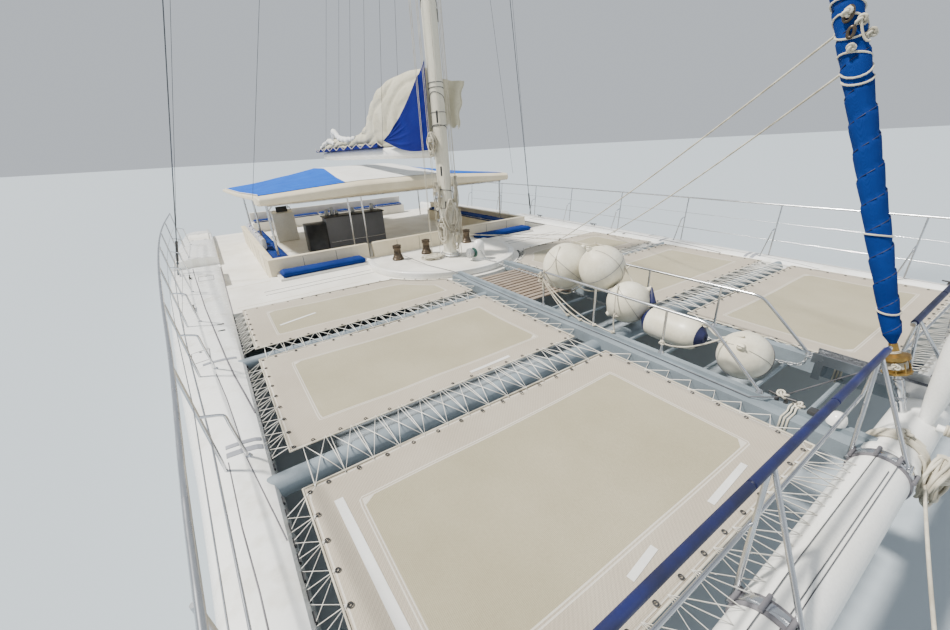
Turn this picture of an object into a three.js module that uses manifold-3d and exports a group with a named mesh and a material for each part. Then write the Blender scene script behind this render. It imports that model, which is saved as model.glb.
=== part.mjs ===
// A sailing catamaran for day trips: two slim hulls, an open main deck with a hardtop between them, and six
// nets, a centre walkway and a round crossbeam ahead of the mast. Millimetres, +X forward, +Y to port, +Z up,
// with the origin on the waterline amidships. The boat is afloat, so the hulls, keels and rudders reach below zero.
import * as THREE from 'three';
import { mergeVertices } from 'three/addons/utils/BufferGeometryUtils.js';
import { ConvexGeometry } from 'three/addons/geometries/ConvexGeometry.js';
import Module from 'manifold-3d';

const wasm = await Module();
wasm.setup();

// Driving dimensions
const SEAT = 0.3; // the gap that two touching pieces keep
const NET_LEVEL = 1550; // the plane of the nets above the water
const SOLE = 1270; // the cockpit floor
const FOREDECK = 1480; // the deck ahead of the cockpit
const DECK_UNDERSIDE = 780;
const HULL_INNER = 5200; // the straight inner side of each hull
const KEEL_FOOT = -1350;
const SIDES = [['starboard', -1], ['port', 1]];

const BEAM = { x: 9900, z: 1480, radius: 200 };
const MID_BEAM = { x: 6800, z: 1430, radius: 115 };
const AFT_BEAM = { x: 3990, z: 1460, radius: 80 };
const WALKWAY = { inner: 620, rail: 700, outer: 860, bottom: 1440, channelTop: 1600, top: 1650, front: 9900,
  posts: [5480, 6580, 7700], railEnd: 8850 };
const RUNG = { z: 1470, radius: 25, under: [3500, 4150], first: 4825, pitch: 550, count: 9 };
const GRATING = { aft: 3300, front: 5040, slats: 13, slatWidth: 95, thickness: 36 };
const NETS = [
  { name: 'front', front: 9480, aft: 7120, beams: [BEAM, MID_BEAM] },
  { name: 'middle', front: 6540, aft: 4190, beams: [MID_BEAM, AFT_BEAM] },
  { name: 'aft', front: 3770, aft: 1800, beams: [AFT_BEAM] },
];
const NET = { inner: 1020, outer: 5030, thickness: 16, tiePitch: 800, tieWidth: 14 };
const PLATFORM = { x: 700, radius: 2000, nose: 2150, height: 150 };
const MAST = { x: 1190, rake: 0.025, chord: 450, width: 300, top: 28600, hounds: 26350, taper: 0.62 };
const STAY = { x: 9800, z: 1700, rake: -0.3648 }; // rake is the change of x for each millimetre of height
const GOOSENECK = { x: 820, low: 4050, high: 4390, lug: 30, pin: 18 };
const BOOM = { aft: -9600, front: 740, height: 340, width: 240 };
const ROOF = { thickness: 70, shoulder: 1250, underside: 3140 };
const POST = { radius: 32, flange: 60, outer: 3800, inner: [1280, 1680], x: [-1600, -4900, -8300], top: 3170 };
const RAIL = { top: 2700, wires: [2305, 1915], tube: 19, wire: 8, foot: 290, head: 200,
  posts: [10900, 8750, 6460, 4210, 1960, -290, -2300, -4600, -7000] };

// Materials
const material = (color, roughness, metalness = 0) =>
  new THREE.MeshStandardMaterial({ color, roughness, metalness });
const gelcoat = material(0xf1f0ea, 0.35);
const deckPaint = material(0xe6e2d6, 0.6);
const aluminium = material(0x9ea6ab, 0.45, 0.8);
const whitePaint = material(0xf4f3ee, 0.4);
const stainless = material(0xb9bcc0, 0.25, 0.9);
const netCloth = material(0xcfc7b4, 0.9);
const teak = material(0x8c7560, 0.8);
const blueCloth = material(0x1b3fae, 0.8);
const canvas = material(0xe9e3cf, 0.85);
const fenderSkin = material(0xe8e5d8, 0.45);
const darkPlastic = material(0x2b2c2f, 0.6);
const bronze = material(0x8f7443, 0.4, 0.8);
const iron = material(0x8b8e8c, 0.6, 0.7);
const antifouling = material(0x1d2c55, 0.8);
const engineGrey = material(0x56605f, 0.6);

// Solids from three.js geometry, and geometry from solids
function toSolid(geometry) {
  const bare = new THREE.BufferGeometry();
  bare.setAttribute('position', geometry.getAttribute('position'));
  if (geometry.index) bare.setIndex(geometry.index);
  const merged = mergeVertices(bare, 1e-3);
  return new wasm.Manifold(new wasm.Mesh({
    numProp: 3,
    vertProperties: new Float32Array(merged.attributes.position.array),
    triVerts: new Uint32Array(merged.index.array),
  }));
}

function toGeometry(solid) {
  const mesh = solid.getMesh();
  const geometry = new THREE.BufferGeometry();
  geometry.setAttribute('position', new THREE.BufferAttribute(new Float32Array(mesh.vertProperties), 3));
  geometry.setIndex(new THREE.BufferAttribute(new Uint32Array(mesh.triVerts), 1));
  return geometry;
}

const join = (...solids) => solids.flat().reduce((whole, next) => whole.add(next));
const cut = (solid, ...tools) => tools.flat().reduce((left, tool) => left.subtract(tool), solid);
const moved = (solid, step) => toSolid(toGeometry(solid).translate(...step));

// A solid grown by the seating gap along the three axes.
function grown(solid, gap = SEAT) {
  const steps = [[gap, 0, 0], [-gap, 0, 0], [0, gap, 0], [0, -gap, 0], [0, 0, gap], [0, 0, -gap]];
  return join(steps.map((step) => moved(solid, step)));
}

// A piece trimmed back by what carries it, each carrier already grown by the gap.
const seated = (solid, ...carriers) => cut(solid, carriers.flat());

// The same solid on the other side of the centreline, with its faces turned to point out again.
function mirrored(solid) {
  const geometry = toGeometry(solid).scale(1, -1, 1);
  geometry.index.array.reverse();
  return toSolid(geometry);
}

const onSide = (solid, side) => (side > 0 ? solid : mirrored(solid));

// Shapes
function box(x0, x1, y0, y1, z0, z1) {
  const geometry = new THREE.BoxGeometry(x1 - x0, y1 - y0, z1 - z0);
  return toSolid(geometry.translate((x0 + x1) / 2, (y0 + y1) / 2, (z0 + z1) / 2));
}

// A round bar from one point to another, or a cone when the second radius differs.
function bar(from, to, radius, sides = 8, endRadius = radius) {
  const a = new THREE.Vector3(...from);
  const b = new THREE.Vector3(...to);
  const geometry = new THREE.CylinderGeometry(endRadius, radius, a.distanceTo(b), sides);
  const turn = new THREE.Quaternion().setFromUnitVectors(
    new THREE.Vector3(0, 1, 0), b.clone().sub(a).normalize());
  geometry.applyQuaternion(turn).translate(...a.add(b).multiplyScalar(0.5).toArray());
  return toSolid(geometry);
}

// A skin along a path, round or tapered. Each row is a point of the path and the radius there.
function swept(rows, sides = 8) {
  const path = rows.map(([point]) => new THREE.Vector3(...point));
  const legs = path.slice(1).map((point, i) => point.clone().sub(path[i])).filter((leg) => leg.length() > 1e-6);
  const first = legs[0].clone().normalize();
  const across = first.clone().cross(Math.abs(first.z) < 0.9 ? new THREE.Vector3(0, 0, 1) : new THREE.Vector3(1, 0, 0));
  return loft(path.map((point, i) => {
    const before = i > 0 && path[i].distanceTo(path[i - 1]) > 1e-6 ? point.clone().sub(path[i - 1]) : null;
    const after = i < path.length - 1 && path[i].distanceTo(path[i + 1]) > 1e-6
      ? path[i + 1].clone().sub(point) : null;
    const along = new THREE.Vector3();
    for (const leg of [before, after]) if (leg) along.add(leg.normalize());
    along.normalize();
    across.addScaledVector(along, -across.dot(along)).normalize();
    const up = along.clone().cross(across);
    const radius = rows[i][1];
    return ellipseRing(sides, (c, s) => point.clone().addScaledVector(across, radius * c)
      .addScaledVector(up, radius * s).toArray());
  }));
}

// A bent tube of one radius.
const tube = (points, radius, sides = 8) => swept(points.map((point) => [point, radius]), sides);

// A turned piece along a line. Each row is the distance from the start and the radius there.
function spindle(start, direction, rows, sides = 12) {
  const step = new THREE.Vector3(...direction).normalize();
  return swept(rows.map(([distance, radius]) => [
    new THREE.Vector3(...start).addScaledVector(step, distance).toArray(), radius]), sides);
}

function ball(centre, radius, around = 12, rings = 8) {
  return toSolid(new THREE.SphereGeometry(radius, around, rings).translate(...centre));
}

// A turned piece about an upright axis: the profile lists radius and height.
function turned(profile, x, y, segments = 16) {
  const points = profile.map(([radius, height]) => new THREE.Vector2(radius, height));
  const geometry = new THREE.LatheGeometry(points, segments).rotateX(Math.PI / 2);
  return toSolid(geometry.translate(x, y, 0));
}

// A flat outline in plan, raised from one height to another.
function plate(outline, low, high) {
  const shape = new THREE.Shape(outline.map(([x, y]) => new THREE.Vector2(x, y)));
  const geometry = new THREE.ExtrudeGeometry(shape, { depth: high - low, bevelEnabled: false });
  return toSolid(geometry.translate(0, 0, low));
}

// A side outline of x and z, given a thickness across the boat.
function sidePlate(outline, y0, y1) {
  const shape = new THREE.Shape(outline.map(([x, z]) => new THREE.Vector2(x, z)));
  const geometry = new THREE.ExtrudeGeometry(shape, { depth: y1 - y0, bevelEnabled: false });
  return toSolid(geometry.rotateX(Math.PI / 2).translate(0, y1, 0));
}

// A skin through rings of points, with a flat fan at each end. The rings run along one axis.
function loft(rings) {
  const count = rings[0].length;
  const positions = rings.flat(2);
  const faces = [];
  for (let r = 0; r < rings.length - 1; r += 1) {
    for (let i = 0; i < count; i += 1) {
      const a = r * count + i;
      const b = r * count + ((i + 1) % count);
      faces.push(a, b, b + count, a, b + count, a + count);
    }
  }
  const last = (rings.length - 1) * count;
  for (let i = 1; i < count - 1; i += 1) faces.push(0, i + 1, i, last, last + i, last + i + 1);
  const geometry = new THREE.BufferGeometry();
  geometry.setAttribute('position', new THREE.BufferAttribute(new Float32Array(positions), 3));
  geometry.setIndex(faces);
  const solid = toSolid(geometry);
  if (solid.volume() > 0) return solid;
  geometry.setIndex(faces.map((_, i) => faces[i - (i % 3) + [0, 2, 1][i % 3]]));
  return toSolid(geometry);
}

const ellipseRing = (count, place) => Array.from({ length: count }, (_, i) => {
  const angle = (i / count) * 2 * Math.PI;
  return place(Math.cos(angle), Math.sin(angle));
});

// A straight-line read of a table at x: rows are sorted, and each row starts with its x.
function readTable(rows, x) {
  const after = Math.max(1, rows.findIndex((row) => row[0] >= x));
  const [low, high] = [rows[after - 1], rows[after]];
  const share = (x - low[0]) / (high[0] - low[0]);
  return low.map((value, i) => value + (high[i] - value) * share);
}

// A smooth read of a table, by a curve through its rows.
function smoothTable(rows, steps) {
  const curves = rows[0].slice(1).map((_, column) => new THREE.CatmullRomCurve3(
    rows.map((row) => new THREE.Vector3(row[0], row[column + 1], 0)), false, 'centripetal'));
  return Array.from({ length: steps + 1 }, (_, i) => {
    const points = curves.map((curve) => curve.getPoint(i / steps));
    return [points[0].x, ...points.map((point) => point.y)];
  });
}

// The hulls. Columns: x, inner side, outer side, top of the crowned deck, bottom of the canoe body.
const HULL_ROWS = [
  [-11700, 5300, 6100, 1540, -40],
  [-10400, 5215, 6220, 1550, -230],
  [-7500, 5200, 6380, 1565, -480],
  [-3500, 5200, 6440, 1570, -640],
  [500, 5200, 6300, 1570, -690],
  [3500, 5200, 6105, 1570, -680],
  [6500, 5200, 5855, 1570, -620],
  [8800, 5200, 5715, 1572, -530],
  [10400, 5205, 5560, 1576, -420],
  [11300, 5262, 5440, 1582, -280],
  [11700, 5335, 5375, 1590, -60],
];
const CHINE = 350; // where the rounded bottom meets the topside
const TOPSIDE = 700; // above this the sides are upright
const HULL_STEPS = 22;
// The rounding of the deck's two edges. Columns: share of the half width, drop inside, drop outside
const CROWN = [[1, 150, 400], [0.98, 92, 257], [0.9, 50, 140], [0.72, 21, 58], [0.4, 5, 14]];
const GATE = { aft: -4300, front: -2950, sill: 1300 }; // the boarding recess

function hullRing([x, innerRead, outer, sheer, floor]) {
  const inner = Math.max(innerRead, HULL_INNER);
  const centre = (inner + outer) / 2;
  const half = (outer - inner) / 2;
  const side = (column) => {
    const points = [];
    for (const angle of [18, 36, 54, 72, 90]) {
      const a = THREE.MathUtils.degToRad(angle);
      points.push([half * 0.93 * Math.sin(a) ** 0.8, CHINE - (CHINE - floor) * Math.cos(a)]);
    }
    points.push([half, TOPSIDE], ...CROWN.map((row) => [half * row[0], sheer - row[column]]));
    return points;
  };
  const outerSide = side(2).map(([y, z]) => [x, centre + y, z]);
  const innerSide = side(1).map(([y, z]) => [x, centre - y, z]).reverse();
  return [[x, centre, floor], ...outerSide, [x, centre, sheer], ...innerSide];
}

// A foil seen in plan, with its leading edge forward. The columns of the rows are height, leading x, chord, thickness.
function foil(y, rows) {
  const shape = [[0, 0], [0.06, 0.32], [0.2, 0.48], [0.4, 0.5], [0.7, 0.3], [1, 0.04]];
  return loft(rows.map(([z, leading, chord, thickness]) => {
    const upper = shape.map(([s, t]) => [leading - s * chord, y + t * thickness, z]);
    const lower = shape.slice(1).map(([s, t]) => [leading - s * chord, y - t * thickness, z]).reverse();
    return [...upper, ...lower];
  }));
}

const ENGINE = { y: 5660, aft: -9550, front: -8450, half: 240, floor: 250, top: 880 };
const BAY = { aft: -9700, front: -8150, low: 5370, high: 5950, rim: 1490 };
const RUDDER = { x: -10250, y: 5735, stock: 45, bore: 46, stockTop: 420 };
const STEPS = [[-10500, 1270], [-10850, 900], [-11200, 520]];

function hullSolid() {
  const stations = smoothTable(HULL_ROWS, HULL_STEPS);
  const body = loft(stations.map(hullRing));
  const keel = foil(5745, [[-500, 1500, 4300, 240], [KEEL_FOOT, 1150, 3500, 190]]);
  const bay = box(BAY.aft, BAY.front, BAY.low, BAY.high, ENGINE.floor, 2500);
  const hatchSeat = box(BAY.aft - 90, BAY.front + 180, 5000, 6500, BAY.rim, 2500);
  const treads = STEPS.map(([x, z]) => box(-12500, x, 5360, 6090, z, 2500));
  const transom = box(-12500, STEPS[2][0] - 20, 5000, 6500, STEPS[2][1] + 150, 2500);
  const bore = bar([RUDDER.x, RUDDER.y, -900], [RUDDER.x, RUDDER.y, RUDDER.stockTop + 20], RUDDER.bore, 24);
  const gate = box(GATE.aft, GATE.front, 5000, 6500, GATE.sill, 2500);
  return cut(join(body, keel), bay, hatchSeat, treads, transom, gate, bore);
}

// The main deck: a closed bridge between the hulls, a foredeck with benches, and a rounded nose under the mast.
function deckOutline(aft, front, gap = SEAT) {
  const reach = HULL_INNER - gap;
  const start = THREE.MathUtils.degToRad(62);
  const arc = Array.from({ length: 15 }, (_, i) => {
    const angle = -start + (2 * start * i) / 14;
    return [PLATFORM.x + PLATFORM.nose * Math.cos(angle), PLATFORM.nose * Math.sin(angle)];
  });
  return [[aft, -reach], [front, -reach], [front + 80, -2400], ...arc, [front + 80, 2400], [front, reach],
    [aft, reach]];
}

const DECK = { front: 1600, step: -660, aft: -10400 };
const COAMING = { top: 1900, wall: 130, side: 4050, aft: -7600, slot: 1450 };
const BENCH = { front: -60, inner: 1680, outer: 4050, top: 1535, sideAft: -6900, sideTop: SOLE + 400 };

function mainDeck() {
  const bridge = box(DECK.aft, DECK.step + 100, -HULL_INNER + SEAT, HULL_INNER - SEAT, DECK_UNDERSIDE, SOLE);
  const foredeck = plate(deckOutline(DECK.step, DECK.front), DECK_UNDERSIDE, FOREDECK);
  const nose = box(2300, 3400, -3000, 3000, DECK_UNDERSIDE - 100, 1180);
  const benches = SIDES.map(([, side]) => onSide(
    box(DECK.step, BENCH.front, BENCH.inner, BENCH.outer, FOREDECK - 50, BENCH.top), side));
  const aftBench = box(DECK.aft + 20, DECK.aft + 620, -3600, 3600, SOLE - 50, BENCH.sideTop);
  const aftRest = box(DECK.aft + 20, DECK.aft + 140, -3600, 3600, SOLE, SOLE + 800);
  return cut(join(bridge, foredeck, benches, aftBench, aftRest), nose);
}

// Low walls round the cockpit with the side benches built onto them.
function coaming() {
  const wallFront = DECK.step - SEAT;
  const floor = SOLE + SEAT;
  const front = box(wallFront - COAMING.wall, wallFront, -COAMING.side, COAMING.side, floor, COAMING.top);
  const sides = SIDES.map(([, side]) => onSide(join(
    box(COAMING.aft, wallFront, COAMING.side, COAMING.side + COAMING.wall, floor, COAMING.top),
    box(BENCH.sideAft, wallFront - COAMING.wall - 250, 3500, COAMING.side, floor, BENCH.sideTop)), side));
  const slots = SIDES.map(([, side]) => onSide(
    box(-1000, 0, COAMING.slot, COAMING.slot + 140, FOREDECK + 20, 2500), side));
  return cut(join(front, sides), slots);
}

// A cushion with rounded long edges, along X or along Y.
function cushion(x0, x1, y0, y1, z0, z1) {
  const soft = (z1 - z0) * 0.3;
  const inset = (d) => [[x0 + d, y0 + d], [x1 - d, y0 + d], [x1 - d, y1 - d], [x0 + d, y1 - d]];
  const levels = [[soft, z0], [0, z0 + soft], [0, z1 - soft], [soft, z1]];
  return loft(levels.map(([d, z]) => inset(d).map(([x, y]) => [x, y, z])));
}

// The raised mast platform with its three winches.
const WINCHES = [[590, -1250], [540, -380], [200, 1150]];

function mastPlatform() {
  const start = THREE.MathUtils.degToRad(109);
  const low = FOREDECK + SEAT;
  const high = FOREDECK + PLATFORM.height;
  const arc = Array.from({ length: 25 }, (_, i) => {
    const angle = -start + (2 * start * i) / 24;
    return [PLATFORM.x + PLATFORM.radius * Math.cos(angle), PLATFORM.radius * Math.sin(angle)];
  });
  const winches = WINCHES.map(([x, y]) => turned([
    [0, high - 10], [150, high - 10], [150, high + 60], [100, high + 110], [86, high + 250], [108, high + 320],
    [108, high + 360], [50, high + 390], [0, high + 390]], x, y));
  return join(plate(arc, low, high), winches);
}

const mastX = (z) => MAST.x - MAST.rake * (z - FOREDECK - PLATFORM.height); // the middle of the mast at a height

// The plate on the side of the mast that takes the head of a shroud
const SHROUD = { foot: [-2650, 6260, 1200], head: [mastX(26000), 170, 26000], wire: 16, cover: 30 };

function tang(gap = 0) {
  const [x, y, z] = SHROUD.head;
  return box(x - 40 - gap, x + 40 + gap, 100 - gap, y + 20 + gap, z - 80 - gap, z + 40 + gap);
}

function shroud() {
  const { foot, head, wire, cover } = SHROUD;
  const line = head.map((value, i) => value - foot[i]);
  const rows = [[0, wire], [720, wire], [720, cover], [1260, cover], [1260, wire], [Math.hypot(...line), wire]];
  return spindle(foot, line, rows, 8);
}

// The mast with two pairs of spreaders and the lugs of the gooseneck.
function mastSolid() {
  const foot = FOREDECK + PLATFORM.height + SEAT;
  // Columns: height, share of the full section
  const rows = [[foot, 1], [MAST.hounds, 1], [MAST.hounds + 1000, 0.86], [MAST.top, MAST.taper]];
  const spar = loft(rows.map(([z, share]) => ellipseRing(20, (c, s) => [
    mastX(z) + (MAST.chord / 2) * share * c, (MAST.width / 2) * share * s, z])));
  // Columns: height, reach to the side
  const spreaders = [[10400, 2050], [18200, 1650]].map(([z, reach]) => SIDES.map(([, side]) => bar(
    [mastX(z), 60 * side, z], [mastX(z) - 450, reach * side, z + 60], 55, 8, 34)));
  const lugs = [GOOSENECK.low - GOOSENECK.lug - 5, GOOSENECK.high + 5].map((z) => cut(
    join(box(GOOSENECK.x, MAST.x, -55, 55, z, z + GOOSENECK.lug),
      bar([GOOSENECK.x, 0, z], [GOOSENECK.x, 0, z + GOOSENECK.lug], 55, 16)),
    bar([GOOSENECK.x, 0, z - 9], [GOOSENECK.x, 0, z + GOOSENECK.lug + 9], GOOSENECK.pin + 0.6, 24)));
  const collar = loft([[foot, 1.28], [foot + 60, 1.28], [foot + 110, 1.08]].map(([z, share]) => ellipseRing(20,
    (c, s) => [mastX(z) + (MAST.chord / 2) * share * c, (MAST.width / 2) * share * s, z])));
  const crane = box(mastX(MAST.top) - 420, mastX(MAST.top) + 100, -50, 50, MAST.top - 60, MAST.top + 40);
  const tangs = SIDES.map(([, side]) => onSide(tang(), side));
  return join(spar, spreaders.flat(), lugs, collar, crane, tangs);
}

function boomSolid() {
  const middle = (GOOSENECK.low + GOOSENECK.high) / 2;
  const ring = (x, share) => ellipseRing(16, (c, s) => [x, (BOOM.width / 2) * share * c,
    middle + (BOOM.height / 2) * share * s]);
  const spar = loft([ring(BOOM.aft, 0.8), ring(BOOM.aft + 500, 1), ring(BOOM.front - 200, 1),
    ring(BOOM.front, 0.85)]);
  const eye = join(
    bar([GOOSENECK.x, 0, GOOSENECK.low], [GOOSENECK.x, 0, GOOSENECK.high], 42, 16),
    box(BOOM.front - 60, GOOSENECK.x, -42, 42, GOOSENECK.low + 40, GOOSENECK.high - 40));
  const reach = GOOSENECK.lug + 12;
  const pin = bar([GOOSENECK.x, 0, GOOSENECK.low - reach], [GOOSENECK.x, 0, GOOSENECK.high + reach],
    GOOSENECK.pin, 24);
  return join(spar, eye, pin);
}

// The lowered mainsail: a flaked heap along the boom that rises to the halyard at the mast.
const SAIL_FRONT = 700;
const SAIL_FLOOR = GOOSENECK.high + 2 * SEAT + 8;
// Columns: x, half width, top
const SAIL_ROWS = [
  [-9900, 90, 4620],
  [-9300, 150, 4740],
  [-8500, 170, 4830],
  [-7850, 230, 5260],
  [-7200, 190, 4860],
  [-5400, 200, 4820],
  [-4200, 210, 4980],
  [-3200, 220, 5560],
  [-2500, 220, 5980],
  [-1500, 220, 6080],
  [-200, 230, 6100],
  [SAIL_FRONT, 170, 6150],
];

function mainsailSolid() {
  return loft(SAIL_ROWS.map(([x, half, high]) => ellipseRing(16, (c, s) => {
    const lift = (high - SAIL_FLOOR) / 2;
    return [x, half * Math.sign(c) * Math.abs(c) ** 0.7, SAIL_FLOOR + lift + lift * Math.sign(s) * Math.abs(s) ** 0.7];
  })));
}

const COVER = { half: 262, thickness: 8, front: -2400, high: 4560, aft: -10100, peak: 6180, low: GOOSENECK.high + SEAT };

function sailCover() {
  const { half, thickness, aft, front, low, high, peak } = COVER;
  const floor = box(aft, front, -half, half, low, low + thickness);
  const sides = SIDES.map(([, side]) => onSide(box(aft, front, half - thickness, half, low, high), side));
  const flap = sidePlate([[front - 50, low], [SAIL_FRONT, low - 230], [SAIL_FRONT - 80, peak],
    [SAIL_FRONT - 200, peak]], -half, -half + thickness);
  const hem = box(front - 50, SAIL_FRONT - 20, -half, -60, low, low + thickness);
  return join(floor, sides, flap, hem);
}

// Round crossbeams between the hulls. A gap makes the tool that trims what they carry.
function crossbeam({ x, z, radius }, sides, gap = 0) {
  return bar([x, -5600, z], [x, 5600, z], radius + gap, sides);
}

// The walkway: two long beams with a raised inner rail, joined by rungs like a ladder.
function walkwayFrame() {
  const aft = 2700;
  const beams = SIDES.map(([, side]) => onSide(join(
    box(aft, WALKWAY.front, WALKWAY.inner, WALKWAY.outer, WALKWAY.bottom, WALKWAY.channelTop),
    box(aft, WALKWAY.front, WALKWAY.inner, WALKWAY.rail, WALKWAY.bottom, WALKWAY.top)), side));
  const rungs = Array.from({ length: RUNG.count }, (_, i) => RUNG.first + i * RUNG.pitch);
  const bars = [...RUNG.under, ...rungs].map((x) => bar(
    [x, -WALKWAY.inner - 20, RUNG.z], [x, WALKWAY.inner + 20, RUNG.z], RUNG.radius, 8));
  return join(beams, bars);
}

function gratingSolid() {
  const top = RUNG.z + RUNG.radius + SEAT + 60 + GRATING.thickness;
  const span = GRATING.front - GRATING.aft;
  const half = WALKWAY.inner - SEAT;
  const slats = Array.from({ length: GRATING.slats }, (_, i) => {
    const x = GRATING.aft + (i * (span - GRATING.slatWidth)) / (GRATING.slats - 1);
    return box(x, x + GRATING.slatWidth, -half, half, top - GRATING.thickness, top);
  });
  const bearers = [-480, 480].map((y) => box(GRATING.aft, GRATING.front, y - 40, y + 40,
    RUNG.z + RUNG.radius + SEAT, top - 6));
  return join(slats, bearers);
}

// Handrails on the walkway, with a foot on each inner rail and a swept front end.
function walkwayRail() {
  const y = (WALKWAY.inner + WALKWAY.rail) / 2;
  const top = 2250;
  const foot = WALKWAY.top + SEAT;
  const posts = WALKWAY.posts.map((x) => bar([x, y, foot], [x, y, top], 16, 6));
  const rail = tube([[WALKWAY.posts[0] - 60, y, top], [8120, y, top], [8280, y, top - 45],
    [WALKWAY.railEnd, y, foot + 8]], 19, 8);
  const feet = [...WALKWAY.posts, WALKWAY.railEnd].map((x) => bar([x, y, foot], [x, y, foot + 14], 38, 8));
  return join(posts, rail, feet);
}

// A net: a flat cloth laced by short ties to the hull, the beams and the walkway.
function netOutline(net) {
  const { inner, outer } = NET;
  if (net.name !== 'aft') return [[net.aft, inner], [net.front, inner], [net.front, outer], [net.aft, outer]];
  const clear = PLATFORM.nose + 130;
  const first = Math.asin(inner / clear);
  const arc = Array.from({ length: 6 }, (_, i) => {
    const angle = first + ((THREE.MathUtils.degToRad(58) - first) * i) / 5;
    return [PLATFORM.x + clear * Math.cos(angle), clear * Math.sin(angle)];
  });
  return [...arc.reverse(), [net.front, inner], [net.front, outer], [net.aft - 70, outer], [net.aft + 30, 2500]];
}

function netSolid(net) {
  const low = NET_LEVEL - NET.thickness / 2;
  const high = NET_LEVEL + NET.thickness / 2;
  const cloth = plate(netOutline(net), low, high);
  const tie = NET.tieWidth / 2;
  const ties = [];
  const backEdge = net.name === 'aft' ? net.aft + 200 : net.aft;
  for (let x = backEdge + 150; x < net.front - 100; x += NET.tiePitch) {
    ties.push(bar([x, NET.outer - 12, NET_LEVEL], [x, HULL_INNER + 70, NET_LEVEL - 130], tie, 4));
    if (x > 3150) ties.push(box(x - tie, x + tie, WALKWAY.outer - 5, NET.inner + 30, low, high));
  }
  for (let y = NET.inner + 200; y < NET.outer; y += NET.tiePitch) {
    net.beams.forEach((beam, end) => {
      const edge = end ? net.aft : net.front;
      const inward = end ? 1 : -1;
      ties.push(bar([edge + 12 * inward, y, NET_LEVEL],
        [beam.x + 0.45 * beam.radius * inward, y, beam.z + 0.8 * beam.radius], tie, 4));
    });
    if (net.name === 'aft' && y > 2700) ties.push(box(1500, net.aft + 100, y - tie, y + tie, low, high));
  }
  for (const angle of net.name === 'aft' ? [32, 44, 56] : []) {
    const a = THREE.MathUtils.degToRad(angle);
    const at = (radius) => [PLATFORM.x + radius * Math.cos(a), radius * Math.sin(a), NET_LEVEL];
    ties.push(bar(at(PLATFORM.nose - 60), at(PLATFORM.nose + 150), tie, 4));
  }
  return join(cloth, ties);
}

// Rails over the front crossbeam, on legs that rise from bands round the beam.
const BEAM_RAIL = { x: 9610, z: 2410, mid: 2000, inner: 380, outer: 4560, bands: [910, 2980] };

function beamRail(beamTool) {
  const { x, z, mid, inner, outer } = BEAM_RAIL;
  const bands = BEAM_RAIL.bands.map((y) =>
    bar([BEAM.x, y - 35, BEAM.z], [BEAM.x, y + 35, BEAM.z], BEAM.radius + 22, 32));
  const legs = BEAM_RAIL.bands.flatMap((y) => [
    bar([BEAM.x - BEAM.radius - 8, y, BEAM.z + 20], [x, y - 260, z], 17, 6),
    bar([BEAM.x + BEAM.radius * 0.75, y, BEAM.z + BEAM.radius * 0.72], [x, y - 300, z], 17, 6)]);
  const top = tube([[x, inner, z], [x, outer - 160, z], [x + 60, outer, z - 90],
    [BEAM.x - 90, outer + 60, BEAM.z + 120]], 26, 8);
  const middle = bar([x - 20, inner + 250, mid], [x + 40, outer - 30, mid], 14, 6);
  const joint = bar([x + 40, outer - 40, mid - 10], [x + 60, outer + 10, z - 100], 14, 6);
  const hook = bar([x, inner + 250, z], [x - 20, inner + 250, mid - 10], 14, 6);
  return seated(join(bands, legs, top, middle, joint, hook), beamTool);
}

// Guard rails along the outer edge of a hull: a top tube, a wire, and stanchions with a bent brace.
function guardRail(hullTool) {
  const xs = RAIL.posts;
  const at = (x, z) => { // the leg leans out from its foot to its head
    const lean = (z - 1500) / (RAIL.top - 1500);
    return [x, readTable(HULL_ROWS, x)[2] - RAIL.foot + lean * (RAIL.foot - RAIL.head), z];
  };
  const lines = [[RAIL.top, RAIL.tube], ...RAIL.wires.map((z) => [z, RAIL.wire])];
  const runs = lines.map(([z, radius]) => tube(xs.map((x) => at(x, z)), radius, radius > 10 ? 6 : 3));
  const stanchions = xs.map((x) => join(
    bar(at(x, 1500), at(x, RAIL.top), 16, 5),
    tube([at(x, 2200), [x, at(x, 2200)[1] - 190, 2110], [x - 110, at(x, 1500)[1] - 190, 1500]], 14, 4)));
  const [, noseY] = at(xs[0], RAIL.top);
  const nose = tube([[xs[0], noseY, RAIL.top], [xs[0] + 260, noseY - 40, RAIL.top - 60],
    [xs[0] + 360, noseY - 70, 1500]], RAIL.tube, 6);
  return seated(join(runs, stanchions, nose), hullTool);
}

// The bow gear on the crossbeam
function strikerPost() {
  // Columns: height above the foot, radius
  const rows = [[0, 52], [260, 78], [760, 104], [1250, 82], [1600, 50], [1660, 62], [1720, 40]];
  const foot = BEAM.z + BEAM.radius - 30;
  const profile = [[0, foot], ...rows.map(([height, radius]) => [radius, foot + height]), [0, foot + 1722]];
  return turned(profile, BEAM.x + 75, 0, 16);
}

function bowsprit() {
  const z = 1630;
  return join(
    bar([BEAM.x + 150, 0, z], [BEAM.x + 330, 0, z], 34, 16, 34),
    bar([BEAM.x + 300, 0, z], [BEAM.x + 460, 0, z], 36, 16, 75),
    bar([BEAM.x + 455, 0, z], [BEAM.x + 2450, 0, z], 75, 16),
    bar([BEAM.x + 2445, 0, z], [BEAM.x + 2600, 0, z], 75, 16, 34));
}

const ROLLER = { y: 470, aft: 8950, front: 10750, floor: 1700, wall: 10, half: 95, height: 120 };

function anchorRoller() {
  const { y, aft, front, floor, wall, half, height } = ROLLER;
  const channel = cut(
    box(aft, front, y - half, y + half, floor, floor + height),
    box(aft - 10, front + 10, y - half + wall, y + half - wall, floor + wall, floor + height + 10));
  const foot = box(BEAM.x - 120, BEAM.x + 120, y - half, y + half, BEAM.z + 100, floor + 5);
  const leg = box(aft + 40, aft + 120, y - half, WALKWAY.inner + 60, WALKWAY.bottom + 60, floor + 5);
  const wheel = bar([front - 70, y - half + 5, floor + 70], [front - 70, y + half - 5, floor + 70], 48, 12);
  return join(channel, foot, leg, wheel);
}

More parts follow.
